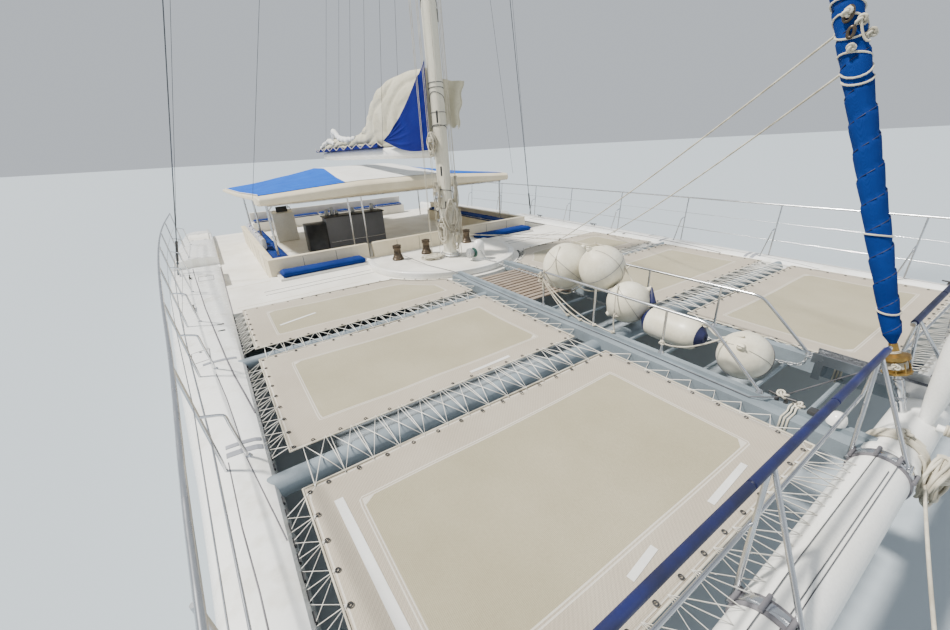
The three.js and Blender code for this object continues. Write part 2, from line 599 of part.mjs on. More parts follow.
function anchorSolid() {
  const { y, front, floor } = ROLLER;
  const top = floor + 70 + 48;
  const shank = box(front - 1150, front + 30, y - 17, y + 17, top + SEAT, top + 74);
  const plough = (side) => {
    const tip = [front + 160, y, top - 120];
    const heel = [front - 60, y, top + 20];
    const wing = [front - 190, y + 250 * side, top + 250];
    const back = [front - 40, y + 40 * side, top + 90];
    const corners = [tip, heel, wing, back, [tip[0] - 30, y + 14 * side, tip[2] + 40],
      [wing[0] + 30, wing[1] - 10 * side, wing[2] - 30], [heel[0], y, top + 70]];
    return toSolid(new ConvexGeometry(corners.map((corner) => new THREE.Vector3(...corner))));
  };
  return join(shank, plough(1), plough(-1));
}

// The electric windlass on the mast platform: a domed housing with a chrome drum on its side.
function windlass() {
  const foot = FOREDECK + PLATFORM.height + SEAT;
  const [x, y, level] = [2060, 330, foot + 190];
  const dome = turned([[0, foot], [185, foot], [185, foot + 30], [150, foot + 50], [145, foot + 330],
    [120, foot + 430], [65, foot + 485], [0, foot + 500]], x, y);
  const drum = bar([x, y, level], [x, y - 330, level], 70, 14);
  const flange = bar([x, y - 270, level], [x, y - 310, level], 125, 14);
  return join(dome, drum, flange);
}

// Fenders strung on one rope over the rungs. Columns: x, height, radius
const BALLS = [[5360, 2190, 420], [6140, 2330, 370], [6690, 1890, 330], [8400, 1680, 305]];
const LASHINGS = [[5560, 2250, 1850], [6140, 2250, 1990]]; // x, height at the handrails, height under the ball

function fenderString() {
  const balls = BALLS.map(([x, z, radius]) => ball([x, 0, z], radius, 14, 9));
  const sausage = spindle([6990, 0, 1722], [1, 0, 0], [[0, 110], [120, 230], [800, 230], [920, 110]], 14);
  const lashings = LASHINGS.map(([x, high, low]) => tube([[x, -640, high], [x, -220, low + 30], [x, 0, low],
    [x, 220, low + 30], [x, 640, high]], 12, 6));
  const knots = BALLS.map(([x, z]) => [x, 0, z]);
  const rope = tube([...knots.slice(0, 3), [7450, 0, 1722], knots[3]], 14, 6);
  return join(balls, sausage, rope, lashings);
}

// The furled headsail on its stay, and the fittings at the stay's two ends
const stayPoint = (z) => [STAY.x + STAY.rake * (z - STAY.z), 0, z];
const FURL = { drumLow: 2040, drumHigh: 2230, head: 25200 };

function alongStay(rows, segments) {
  // Columns: height, radius
  const [low, high] = [stayPoint(rows[0][0]), stayPoint(rows[rows.length - 1][0])];
  const axis = high.map((value, i) => value - low[i]);
  const stretch = Math.hypot(...axis) / axis[2];
  return spindle(low, axis, rows.map(([z, radius]) => [(z - rows[0][0]) * stretch, radius]), segments);
}

// The roof over the cockpit: a thick rolled edge in front, rising to a flat top with sides that slope to the edge.
// Columns: x, half width, top at the edge, top in the middle, depth of the edge
const ROOF_ROWS = [
  [-8950, 4380, 3200, 3480, 60],
  [-8800, 4400, 3230, 3540, 90],
  [-6600, 4300, 3250, 3820, 100],
  [-5200, 4240, 3270, 3820, 100],
  [-1800, 4050, 3370, 3540, 110],
  [-1750, 4045, 3370, 3540, 230],
  [-1400, 4020, 3360, 3520, 220],
  [-1290, 3960, 3290, 3420, 110],
];

function roofTop([, half, edge, middle], y) {
  const slope = Math.max(0, Math.abs(y) - ROOF.shoulder) / (half - ROOF.shoulder);
  return middle + (edge - middle) * slope;
}

function roofSolid() {
  return loft(ROOF_ROWS.map((row) => {
    const [x, half, edge, , depth] = row;
    const shoulder = ROOF.shoulder / half;
    const ys = [-1, -0.75, -0.5, -shoulder, shoulder, 0.5, 0.75, 1].map((share) => share * half);
    const under = (y) => Math.max(edge - depth, roofTop(row, y) - Math.max(depth, ROOF.thickness) - 80);
    const flat = depth > 150;
    return [...ys.map((y) => [x, y, roofTop(row, y)]),
      ...ys.map((y) => [x, y, flat ? edge - depth : under(y)]).reverse()];
  }));
}

function roofFrame() {
  const top = POST.top - POST.radius - SEAT;
  const posts = POST.x.flatMap((x, i) => SIDES.map(([, side]) => {
    const y = POST.outer * side;
    const foot = (x > BENCH.sideAft ? BENCH.sideTop : SOLE) + SEAT;
    return join(bar([x, y, foot], [x, y, i ? top : ROOF.underside - SEAT], POST.radius),
      bar([x, y, foot], [x, y, foot + 16], POST.flange, 10));
  }));
  const [first, , last] = POST.x;
  const midPosts = POST.inner.flatMap((y) => SIDES.map(([, side]) => bar(
    [first, y * side, SOLE + SEAT], [first, y * side, ROOF.underside - 30], 24)));
  const low = ROOF.underside - 30 - SEAT;
  const long = SIDES.map(([, side]) => bar([first + 60, POST.outer * side, low], [last - 200, POST.outer * side, low], 26));
  const across = POST.x.map((x) => bar([x, -POST.outer, low], [x, POST.outer, low], 22));
  return join(posts, midPosts, long, across);
}

// The bar in the cockpit and the helm
const BAR = { aft: -4250, front: -3650, low: -1950, high: 150, top: SOLE + 1090 };

function barSolid() {
  const cabinet = box(BAR.aft + 40, BAR.front - 40, BAR.low + 40, BAR.high - 40, SOLE + SEAT, BAR.top - 40);
  const counter = box(BAR.aft, BAR.front, BAR.low, BAR.high, BAR.top - 45, BAR.top);
  const fridge = box(BAR.aft + 60, BAR.front - 60, BAR.low - 620, BAR.low + 60, SOLE + SEAT, BAR.top - 180);
  return join(cabinet, counter, fridge);
}

const HELM = { x: -7050, y: -2750, hub: 2200, wheel: 430 };

function helmConsole() {
  const shape = [[HELM.x, SOLE + SEAT], [HELM.x + 520, SOLE + SEAT], [HELM.x + 440, 2320], [HELM.x + 160, 2400],
    [HELM.x, 2340]];
  return sidePlate(shape, HELM.y - 380, HELM.y + 380);
}

function steeringWheel() {
  const x = HELM.x - 120;
  const rim = toSolid(new THREE.TorusGeometry(HELM.wheel, 17, 6, 22).rotateY(Math.PI / 2).translate(x, HELM.y, HELM.hub));
  const spokes = Array.from({ length: 5 }, (_, i) => {
    const angle = (i / 5) * 2 * Math.PI + Math.PI / 2;
    return bar([x, HELM.y, HELM.hub], [x, HELM.y + HELM.wheel * Math.cos(angle),
      HELM.hub + HELM.wheel * Math.sin(angle)], 9, 5);
  });
  const hub = bar([x - 22, HELM.y, HELM.hub], [HELM.x - 0.6, HELM.y, HELM.hub], 38, 16);
  return join(rim, spokes, hub);
}

// Underwater gear
const SHAFT = { y: 5735, front: [-7000, -420], aft: [-9350, -835], radius: 26 };
const shaftDirection = new THREE.Vector3(SHAFT.aft[0] - SHAFT.front[0], 0, SHAFT.aft[1] - SHAFT.front[1]).normalize();
const alongShaft = (distance) => [SHAFT.aft[0] + shaftDirection.x * distance, SHAFT.y,
  SHAFT.aft[1] + shaftDirection.z * distance];

function shaftAndStrut(hullTool) {
  const shaft = bar([SHAFT.front[0], SHAFT.y, SHAFT.front[1]], alongShaft(0), SHAFT.radius, 12);
  const barrel = bar(alongShaft(-230), alongShaft(0), 58, 16);
  const strut = foil(SHAFT.y, [[-820, -9130, 170, 40], [-200, -9030, 190, 44]]);
  const bore = bar(alongShaft(-95), alongShaft(20), 20.7, 24);
  return seated(cut(join(shaft, barrel, strut), bore), hullTool);
}

function propeller() {
  // Columns: distance past the shaft's end, radius
  const hub = spindle(alongShaft(0), shaftDirection.toArray(),
    [[-90, 20], [1, 20], [1, 56], [120, 40], [175, 12]], 24);
  const middle = new THREE.Vector3(...alongShaft(60));
  const blades = Array.from({ length: 4 }, (_, i) => {
    // Columns: distance from the shaft, half chord, half thickness, twist in degrees
    const rows = [[40, 45, 11, 58], [120, 85, 8, 42], [200, 95, 6, 30], [272, 40, 4, 23]];
    const rings = rows.map(([r, chord, thick, twist]) => {
      const t = THREE.MathUtils.degToRad(twist);
      return ellipseRing(8, (c, s) => [chord * c * Math.cos(t) - thick * s * Math.sin(t),
        chord * c * Math.sin(t) + thick * s * Math.cos(t), r]);
    });
    const turn = new THREE.Quaternion().setFromAxisAngle(new THREE.Vector3(1, 0, 0), (i / 4) * 2 * Math.PI);
    const aim = new THREE.Quaternion().setFromUnitVectors(new THREE.Vector3(-1, 0, 0), shaftDirection);
    return loft(rings.map((ring) => ring.map(([a, b, r]) => new THREE.Vector3(a * 0.45, b, r)
      .applyQuaternion(turn).applyQuaternion(aim).add(middle).toArray())));
  });
  return join(hub, blades);
}

function rudder() {
  const blade = foil(RUDDER.y, [[-400, RUDDER.x + 190, 640, 92], [-1290, RUDDER.x + 150, 470, 66]]);
  const stock = bar([RUDDER.x, RUDDER.y, -520], [RUDDER.x, RUDDER.y, RUDDER.stockTop], RUDDER.stock, 24);
  return join(blade, stock);
}

// Engines under hinged hatches
const LID = { thickness: 46, lap: 62, hinge: BAY.front + 62 };

function engine() {
  return box(ENGINE.aft, ENGINE.front, ENGINE.y - ENGINE.half, ENGINE.y + ENGINE.half,
    ENGINE.floor + SEAT, ENGINE.top);
}

function hatchLid() {
  const low = BAY.rim + SEAT;
  const [x0, x1] = [BAY.aft - LID.lap, BAY.front + LID.lap];
  const [y0, y1] = [BAY.low - LID.lap, BAY.high + LID.lap];
  const edge = [[0, low], [0, low + 26], [22, low + LID.thickness]];
  return loft(edge.map(([d, z]) => [[x0 + d, y0 + d, z], [x1 - d, y0 + d, z], [x1 - d, y1 - d, z],
    [x0 + d, y1 - d, z]]));
}

// Assembly
const boat = new THREE.Group();
boat.name = 'catamaran';

function add(name, solid, finish) {
  const mesh = new THREE.Mesh(toGeometry(solid), finish);
  mesh.name = name;
  boat.add(mesh);
  return solid;
}

const portHull = hullSolid();
const hulls = { port: portHull, starboard: mirrored(portHull) };
for (const [name] of SIDES) add(`hull_${name}`, hulls[name], gelcoat);
const hullTools = { port: grown(hulls.port), starboard: grown(hulls.starboard) };
const bothHulls = [hullTools.port, hullTools.starboard];

const deckTool = grown(add('main_deck', mainDeck(), deckPaint));
add('cockpit_coaming', coaming(), gelcoat);
const platformTool = grown(add('mast_platform', mastPlatform(), gelcoat));

add('front_crossbeam', seated(crossbeam(BEAM, 32), bothHulls), whitePaint);
add('middle_crossbeam', seated(crossbeam(MID_BEAM, 24), bothHulls), aluminium);
add('aft_crossbeam', seated(crossbeam(AFT_BEAM, 16), bothHulls), aluminium);
const frontTool = crossbeam(BEAM, 32, 1);
const netBeams = [frontTool, crossbeam(MID_BEAM, 24, 1), crossbeam(AFT_BEAM, 16, 1)];
const walkwayTool = grown(add('walkway_frame', seated(walkwayFrame(), netBeams, deckTool, platformTool), aluminium));
add('walkway_grating', seated(gratingSolid(), netBeams), teak);

const railTools = SIDES.map(([name, side]) =>
  grown(add(`walkway_rail_${name}`, seated(onSide(walkwayRail(), side), walkwayTool), stainless)));
for (const [name, side] of SIDES) {
  for (const net of NETS) {
    const carriers = [hullTools[name], netBeams, walkwayTool, deckTool];
    add(`net_${net.name}_${name}`, seated(onSide(netSolid(net), side), carriers.flat()), netCloth);
  }
  add(`beam_rail_${name}`, onSide(beamRail(frontTool), side), stainless);
  add(`guard_rail_${name}`, onSide(guardRail(hullTools.port), side), stainless);
  const benchTop = BENCH.top + SEAT;
  add(`bench_cushion_${name}`, onSide(
    cushion(DECK.step + 30, BENCH.front + 20, BENCH.inner + 20, BENCH.outer - 20, benchTop, benchTop + 140), side),
  blueCloth);
  const seatTop = BENCH.sideTop + SEAT;
  const postHoles = POST.x.map((x) => bar([x, POST.outer, SOLE], [x, POST.outer, seatTop + 200], POST.flange + 2, 10));
  add(`side_cushion_${name}`, onSide(
    cut(cushion(BENCH.sideAft + 50, -1100, 3520, COAMING.side - 5, seatTop, seatTop + 110), postHoles), side), blueCloth);
}
add('aft_cushion', cushion(DECK.aft + 150, DECK.aft + 610, -3560, 3560, BENCH.sideTop + SEAT, BENCH.sideTop + 110),
  blueCloth);

const mastTool = grown(add('mast', mastSolid(), whitePaint));
add('boom', boomSolid(), whitePaint);
add('sail_cover', sailCover(), blueCloth);
add('mainsail', mainsailSolid(), canvas);

add('striker_post', seated(strikerPost(), frontTool), whitePaint);
add('bowsprit', seated(bowsprit(), frontTool), whitePaint);
add('anchor_roller', seated(anchorRoller(), frontTool, walkwayTool), stainless);
add('anchor', anchorSolid(), iron);
add('windlass', windlass(), whitePaint);
add('fender_string', seated(fenderString(), walkwayTool, railTools), fenderSkin);

add('furled_headsail', alongStay([[FURL.drumHigh + 89 + SEAT, 30], [2420, 75], [3300, 95], [8000, 140], [16000, 120],
  [23300, 70], [FURL.head, 30]], 16), blueCloth);
add('furler_drum', alongStay([[FURL.drumLow, 105], [2058, 112], [2072, 70], [2160, 70], [2176, 112],
  [FURL.drumHigh - 20, 108], [FURL.drumHigh, 40], [FURL.drumHigh + 89, 32]], 20), bronze);
add('stay_foot', seated(alongStay([[1560, 30], [1840, 30], [1860, 44], [1960, 44], [1990, 26],
  [FURL.drumLow - SEAT, 26]], 12), frontTool), stainless);
add('stay_head', seated(alongStay([[FURL.head + SEAT, 26], [FURL.head + 200, 26], [FURL.head + 220, 14],
  [MAST.hounds + 60, 14]], 10), mastTool), stainless);

for (const [name, side] of SIDES) {
  add(`shroud_${name}`, seated(onSide(shroud(), side), hullTools[name], onSide(tang(SEAT), side)), stainless);
}

add('roof_frame', roofFrame(), stainless);
add('hardtop', roofSolid(), canvas);
add('bar_counter', barSolid(), darkPlastic);
add('helm_console', helmConsole(), gelcoat);
add('steering_wheel', steeringWheel(), stainless);

for (const [name, side] of SIDES) {
  add(`shaft_strut_${name}`, onSide(shaftAndStrut(hullTools.port), side), bronze);
  add(`propeller_${name}`, onSide(propeller(), side), bronze);
  add(`rudder_${name}`, onSide(rudder(), side), antifouling);
  add(`engine_${name}`, onSide(engine(), side), engineGrey);
  add(`engine_hatch_${name}`, onSide(hatchLid(), side), gelcoat);
}

export default boat;
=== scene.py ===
# %% [markdown]
# A sailing catamaran, dressed for a picture
#
# Two slim white hulls carry a deck with a hardtop, and ahead of the mast six nets hang between the hulls, a
# centre walkway and round crossbeams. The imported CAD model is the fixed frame: it says where everything is.
# This lesson gives each part of it the shape, cloth, rope and finish of the real boat. All numbers are
# metres, +X is forward, +Y is port, +Z is up, and zero height is the waterline.

# %% Load the frame
import bpy
import math
import random
from mathutils import Vector, Matrix, Euler, noise


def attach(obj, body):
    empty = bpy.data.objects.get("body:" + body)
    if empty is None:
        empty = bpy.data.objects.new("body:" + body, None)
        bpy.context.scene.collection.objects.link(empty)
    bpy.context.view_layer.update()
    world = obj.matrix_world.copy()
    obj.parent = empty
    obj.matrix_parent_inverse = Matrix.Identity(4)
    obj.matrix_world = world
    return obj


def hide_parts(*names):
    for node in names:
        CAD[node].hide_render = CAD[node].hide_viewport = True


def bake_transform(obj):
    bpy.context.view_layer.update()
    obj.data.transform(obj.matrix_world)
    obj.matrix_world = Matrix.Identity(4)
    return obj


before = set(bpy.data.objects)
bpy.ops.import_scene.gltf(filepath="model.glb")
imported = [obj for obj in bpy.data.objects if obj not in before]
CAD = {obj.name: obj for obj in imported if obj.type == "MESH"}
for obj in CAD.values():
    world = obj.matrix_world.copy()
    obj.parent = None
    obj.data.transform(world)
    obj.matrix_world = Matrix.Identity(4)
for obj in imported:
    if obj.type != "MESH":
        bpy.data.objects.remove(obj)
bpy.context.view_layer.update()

# %% [markdown]
# The camera comes first. The photograph was taken from the rail over the front crossbeam, a little above head
# height, looking aft and to port. A wide lens takes in the nets and the mast, and no lens shift is needed.

# %% Camera
bpy.ops.object.select_all(action="DESELECT")
CAMERA_PLACE = (10.16, -5.09, 4.23)
CAMERA_TURN = (66.883, 2.895, 56.060)
bpy.ops.object.camera_add(location=CAMERA_PLACE, rotation=[math.radians(turn) for turn in CAMERA_TURN])
camera = bpy.context.object
camera.name = "photo_camera"
camera.data.sensor_width = 36.0
camera.data.lens = 14.83
camera.data.clip_end = 2000.0
bpy.context.scene.camera = camera
print("camera at", CAMERA_PLACE, "with a lens of", camera.data.lens, "mm")

# %% [markdown]
# The boat is afloat, so the plain pale floor lies at its waterline and hides what is under water. One broad
# sun, high on the starboard quarter as in the photograph, and a pale sky give a soft studio light.

# %% Floor and light
WATERLINE = 0.0


def tree_of(owner):
    """The node tree of a material or world, with its default nodes in it."""
    owner.use_nodes = True
    return owner.node_tree


bpy.ops.mesh.primitive_plane_add(size=1600, location=(0, 0, WATERLINE))
floor = bpy.context.object
floor.name = "studio_floor"
floor_paint = bpy.data.materials.new("studio_floor_paint")
floor_shader = tree_of(floor_paint).nodes["Principled BSDF"]
floor_shader.inputs["Base Color"].default_value = (0.36, 0.41, 0.45, 1)
floor_shader.inputs["Roughness"].default_value = 0.85
floor.data.materials.append(floor_paint)

sky = bpy.context.scene.world or bpy.data.worlds.new("studio_sky")
bpy.context.scene.world = sky
sky_light = tree_of(sky).nodes["Background"]
sky_light.inputs["Color"].default_value = (0.84, 0.90, 0.97, 1)
sky_light.inputs["Strength"].default_value = 0.70

# name, turn about X, turn about Z, strength, soft angle, colour
SUNS = [
    ("key_sun", 36, -32, 8.4, 5, (1.0, 0.965, 0.90)),
    ("fill_sun", 50, 100, 0.7, 60, (0.90, 0.95, 1.0)),
]
for name, tilt, heading, strength, soft, colour in SUNS:
    bpy.ops.object.light_add(type="SUN", rotation=(math.radians(tilt), 0, math.radians(heading)))
    sun = bpy.context.object
    sun.name = name
    sun.data.energy = strength
    sun.data.angle = math.radians(soft)
    sun.data.color = colour
print("floor at", WATERLINE, "and", len(SUNS), "suns")

# %% [markdown]
# A few helpers follow, for the moves that every piece needs. An operator acts on all that is selected, so the
# first helper selects one object alone. Others pick faces by a rule, fix an object's place into its mesh, and
# make a round bar or rope along a line of points, which is a curve with a bevel that is then made a mesh.

# %% Helpers for picking and placing
def only(*pieces):
    """Select these objects and no others, in object mode."""
    if bpy.context.object and bpy.context.object.mode != "OBJECT":
        bpy.ops.object.mode_set(mode="OBJECT")
    bpy.ops.object.select_all(action="DESELECT")
    for piece in pieces:
        piece.hide_set(False)
        piece.select_set(True)
    bpy.context.view_layer.objects.active = pieces[0]
    return pieces[0]


def settle(piece):
    """Fix the object's place, turn and size into its mesh, so that it sits at the origin."""
    only(piece)
    bpy.ops.object.transform_apply(location=True, rotation=True, scale=True)
    return piece


def edit(piece, choose=None, kind="FACE"):
    """Enter edit mode with the faces or vertices that a rule of their middle and normal picks."""
    only(piece)
    mesh = piece.data
    for item in list(mesh.vertices) + list(mesh.edges) + list(mesh.polygons):
        item.select = False
    if kind == "FACE":
        for face in mesh.polygons:
            face.select = choose is None or choose(face.center, face.normal)
    else:
        for vertex in mesh.vertices:
            vertex.select = choose is None or choose(vertex.co, vertex.normal)
    bpy.ops.object.mode_set(mode="EDIT")
    bpy.ops.mesh.select_mode(type=kind)


def leave_edit():
    bpy.ops.object.mode_set(mode="OBJECT")


def merged(piece, distance=0.0004, outwards=True):
    """Merge the doubles of a mesh and turn its faces outwards."""
    edit(piece)
    bpy.ops.mesh.remove_doubles(threshold=distance)
    if outwards:
        bpy.ops.mesh.normals_make_consistent(inside=False)
    leave_edit()
    return piece


def smooth(piece, angle=35):
    only(piece)
    bpy.ops.object.shade_smooth_by_angle(angle=math.radians(angle))
    return piece


def apply_modifier(piece, kind, **settings):
    """Add a modifier, set it and apply it."""
    only(piece)
    modifier = piece.modifiers.new(kind.lower(), kind)
    for name, value in settings.items():
        setattr(modifier, name, value)
    bpy.ops.object.modifier_apply(modifier=modifier.name)
    return piece


def join(name, pieces):
    """Join several objects into one, which keeps the materials of each."""
    only(*pieces)
    if len(pieces) > 1:
        bpy.ops.object.join()
    joined = bpy.context.object
    joined.name = name
    return joined


def finish(piece, paint, body="platform", hides=()):
    """Give a piece its material and the body that it rides on, and hide the CAD nodes that it replaces."""
    if paint is not None:
        piece.data.materials.clear()
        piece.data.materials.append(paint)
    if body:
        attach(piece, body)
    if hides:
        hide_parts(*hides)
    return piece


def count(piece):
    piece.data.calc_loop_triangles()
    return f"{piece.name}: {len(piece.data.loop_triangles)} triangles"


# %% Helpers for bars, boxes and copies
def rod(points, radius, name="rod", sides=8, bent=False, radii=None):
    """A round bar along points, its corners rounded where bent is true, with closed ends."""
    only(floor)
    bpy.ops.object.select_all(action="DESELECT")
    line = bpy.data.curves.new(name, "CURVE")
    line.dimensions = "3D"
    spline = line.splines.new("NURBS" if bent else "POLY")
    spline.points.add(len(points) - 1)
    for i, point in enumerate(points):
        spline.points[i].co = (*point, 1)
        spline.points[i].radius = radii[i] if radii else 1
    if bent:
        spline.order_u = 3
        spline.use_endpoint_u = True
        spline.resolution_u = 5
    line.bevel_depth = radius
    line.bevel_resolution = max(0, sides // 4 - 1) if sides % 4 == 0 else 1
    line.use_fill_caps = True
    piece = bpy.data.objects.new(name, line)
    bpy.context.scene.collection.objects.link(piece)
    only(piece)
    bpy.ops.object.convert(target="MESH")
    piece = bpy.context.object
    for face in piece.data.polygons:
        face.use_smooth = len(face.vertices) == 4
    return piece


def lump(low, high, name="lump", soft=0.0, steps=2):
    """A cube from one corner to the other with its edges rounded."""
    middle = [(a + b) / 2 for a, b in zip(low, high)]
    bpy.ops.object.select_all(action="DESELECT")
    bpy.ops.mesh.primitive_cube_add(size=1, location=middle, scale=[b - a for a, b in zip(low, high)])
    piece = bpy.context.object
    piece.name = name
    settle(piece)
    if soft:
        apply_modifier(piece, "BEVEL", width=soft, segments=steps, limit_method="ANGLE")
        smooth(piece, 40)
    return piece


def drum(start, end, radius, name="drum", sides=24, end_radius=None, soft=0.0):
    """A round bar or cone between two points, with softened rims."""
    start, end = Vector(start), Vector(end)
    turn = (end - start).to_track_quat("Z", "Y")
    bpy.ops.object.select_all(action="DESELECT")
    bpy.ops.mesh.primitive_cone_add(vertices=sides, radius1=radius, radius2=radius if end_radius is None else
                                    end_radius, depth=(end - start).length, location=(start + end) / 2,
                                    rotation=turn.to_euler())
    piece = bpy.context.object
    piece.name = name
    settle(piece)
    if soft:
        apply_modifier(piece, "BEVEL", width=soft, segments=2, limit_method="ANGLE")
    smooth(piece, 40)
    return piece


def spun(profile, place, name="spun", sides=32):
    """A turned piece about an upright line: an outline of radius and height, spun once round."""
    bpy.ops.object.select_all(action="DESELECT")
    mesh = bpy.data.meshes.new(name)
    mesh.from_pydata([(place[0] + r, place[1], z) for r, z in profile],
                     [(i, i + 1) for i in range(len(profile) - 1)], [])
    piece = bpy.data.objects.new(name, mesh)
    bpy.context.scene.collection.objects.link(piece)
    edit(piece, None, "VERT")
    bpy.ops.mesh.spin(steps=sides, angle=math.tau, center=(place[0], place[1], 0), axis=(0, 0, 1))
    bpy.ops.mesh.select_all(action="SELECT")
    bpy.ops.mesh.remove_doubles(threshold=0.0003)
    bpy.ops.mesh.normals_make_consistent(inside=False)
    leave_edit()
    smooth(piece, 40)
    return piece


def copy_of(node, name, angle=35):
    """A copy of a CAD node's mesh, its loose triangles merged, shaded smooth by the angle of its edges."""
    bpy.ops.object.select_all(action="DESELECT")
    piece = bpy.data.objects.new(name, CAD[node].data.copy())
    bpy.context.scene.collection.objects.link(piece)
    only(piece)
    bpy.ops.mesh.customdata_custom_splitnormals_clear()
    merged(piece, 0.0003, outwards=False)
    smooth(piece, angle)
    return piece


def mirror_copy(piece, name):
    """A copy on the other side of the centreline, with its faces turned to point out again."""
    only(piece)
    bpy.ops.object.duplicate()
    twin = bpy.context.object
    twin.name = name
    twin.data.transform(Matrix.Scale(-1, 4, (0, 1, 0)))
    twin.data.flip_normals()
    return twin


# %% [markdown]
# A loose rope has a real length.

# %% Helper for ropes
def flowing(points, per=8):
    """Close points on a smooth line through the given ones."""
    line = [Vector(point) for point in points]
    line = [line[0] * 2 - line[1]] + line + [line[-1] * 2 - line[-2]]
    found = []
    for a, b, c, d in zip(line, line[1:], line[2:], line[3:]):
        for step in range(per):
            t = step / per
            found.append(0.5 * (b * 2 + (c - a) * t + (a * 2 - b * 5 + c * 4 - d) * t * t +
                                (b * 3 - a - c * 3 + d) * t ** 3))
    return found + [line[-2]]


def loose_rope(name, points, radius, paint, body="platform", per=8):
    path = flowing(points, per) if per > 1 else [Vector(point) for point in points]
    piece = rod(path, radius, name)
    finish(piece, paint, body)
    return piece


# %% [markdown]
# Knots are small but they tell where a rope is held. A knot is drawn as one closed loop that passes over and
# under itself, sized to its rope. It is made at each place where a rope is tied.

# %% Helper for knots
def knot_at(place, size, radius, turn=(0, 0, 0)):
    points = []
    for step in range(31):
        t = math.tau * step / 30
        out = 2 + math.cos(3 * t)
        points.append(Vector((out * math.cos(2 * t), out * math.sin(2 * t), -1.2 * math.sin(3 * t))) *
                      (size / 3))
    knot = rod(points, radius)
    knot.data.transform(Matrix.Translation(place) @ Euler(turn).to_matrix().to_4x4())
    return knot


print("helpers ready")

# %% [markdown]
# Each finish is built from nodes. A noise on Object coordinates gives the slow change of colour that sun and
# salt leave, a finer one gives the grain, and a bump lets the grain catch the light. The uniform numbers,
# such as metalness, are set on the shader's own sockets, because an export keeps only those.

# %% Helpers for finishes
def new_finish(name, roughness, metal=0.0, coat=0.0, sheen=0.0):
    paint = bpy.data.materials.new(name)
    tree = tree_of(paint)
    shader = tree.nodes["Principled BSDF"]
    shader.inputs["Roughness"].default_value = roughness
    shader.inputs["Metallic"].default_value = metal
    shader.inputs["Coat Weight"].default_value = coat
    shader.inputs["Coat Roughness"].default_value = 0.12
    shader.inputs["Sheen Weight"].default_value = sheen
    return paint, tree, shader


def object_place(tree, scale=(1, 1, 1), turn=(0, 0, 0), output="Object"):
    """The Object or UV coordinates through a Mapping node."""
    place = tree.nodes.new("ShaderNodeTexCoord")
    mapping = tree.nodes.new("ShaderNodeMapping")
    mapping.inputs["Scale"].default_value = scale
    mapping.inputs["Rotation"].default_value = turn
    tree.links.new(place.outputs[output], mapping.inputs["Vector"])
    return mapping.outputs["Vector"]


def noise_of(tree, place, scale, detail=4.0, rough=0.55):
    node = tree.nodes.new("ShaderNodeTexNoise")
    node.inputs["Scale"].default_value = scale
    node.inputs["Detail"].default_value = detail
    node.inputs["Roughness"].default_value = rough
    tree.links.new(place, node.inputs["Vector"])
    return node.outputs["Fac"]


def wave_of(tree, place, scale, distortion=0.0, direction="X"):
    node = tree.nodes.new("ShaderNodeTexWave")
    node.bands_direction = direction
    node.inputs["Scale"].default_value = scale
    node.inputs["Distortion"].default_value = distortion
    tree.links.new(place, node.inputs["Vector"])
    return node.outputs["Fac"]


def ramp_of(tree, factor, *stops):
    """A colour ramp through stops of (place, colour), where a single number is a grey."""
    node = tree.nodes.new("ShaderNodeValToRGB")
    ramp = node.color_ramp
    while len(ramp.elements) < len(stops):
        ramp.elements.new(0.5)
    for element, (place, colour) in zip(ramp.elements, stops):
        element.position = place
        element.color = (*colour, 1) if hasattr(colour, "__len__") else (colour, colour, colour, 1)
    tree.links.new(factor, node.inputs["Fac"])
    return node.outputs["Color"]


def mix_of(tree, factor, first, second, mode="MIX"):
    """Mix two colours, each a socket or a plain colour, by a socket or a number."""
    node = tree.nodes.new("ShaderNodeMix")
    node.data_type = "RGBA"
    node.blend_type = mode
    for socket, value in ((node.inputs[0], factor), (node.inputs[6], first), (node.inputs[7], second)):
        if hasattr(value, "node"):
            tree.links.new(value, socket)
        elif hasattr(value, "__len__"):
            socket.default_value = (*value, 1)
        else:
            socket.default_value = value
    return node.outputs[2]


def maths(tree, first, second, kind="ADD"):
    node = tree.nodes.new("ShaderNodeMath")
    node.operation = kind
    for socket, value in zip(node.inputs, (first, second)):
        if hasattr(value, "node"):
            tree.links.new(value, socket)
        else:
            socket.default_value = value
    return node.outputs[0]


def bump_of(tree, shader, height, distance, strength=1.0):
    node = tree.nodes.new("ShaderNodeBump")
    node.inputs["Distance"].default_value = distance
    node.inputs["Strength"].default_value = strength
    tree.links.new(height, node.inputs["Height"])
    tree.links.new(node.outputs["Normal"], shader.inputs["Normal"])


def axis_of(tree, place, axis):
    node = tree.nodes.new("ShaderNodeSeparateXYZ")
    tree.links.new(place, node.inputs[0])
    return node.outputs[axis]


def weathered(name, light, dark, roughness, patch=0.6, grain=40.0, relief=0.0006, metal=0.0, coat=0.0,
              sheen=0.0, spread=0.12, stretch=(1, 1, 1)):
    """A finish whose colour drifts between two tones in patches, with a fine grain in its gloss and bump."""
    paint, tree, shader = new_finish(name, roughness, metal, coat, sheen)
    place = object_place(tree, stretch)
    slow = noise_of(tree, place, patch, 6.0)
    fine = noise_of(tree, place, grain, 3.0)
    colour = ramp_of(tree, slow, (0.34, dark), (0.66, light))
    speck = ramp_of(tree, fine, (0.3, 0.86), (0.6, 1.0))
    tree.links.new(mix_of(tree, 0.6, colour, speck, "MULTIPLY"), shader.inputs["Base Color"])
    gloss = ramp_of(tree, slow, (0.3, min(1.0, roughness + spread)), (0.7, max(0.04, roughness - spread / 2)))
    tree.links.new(gloss, shader.inputs["Roughness"])
    if relief:
        bump_of(tree, shader, fine, relief)
    return paint


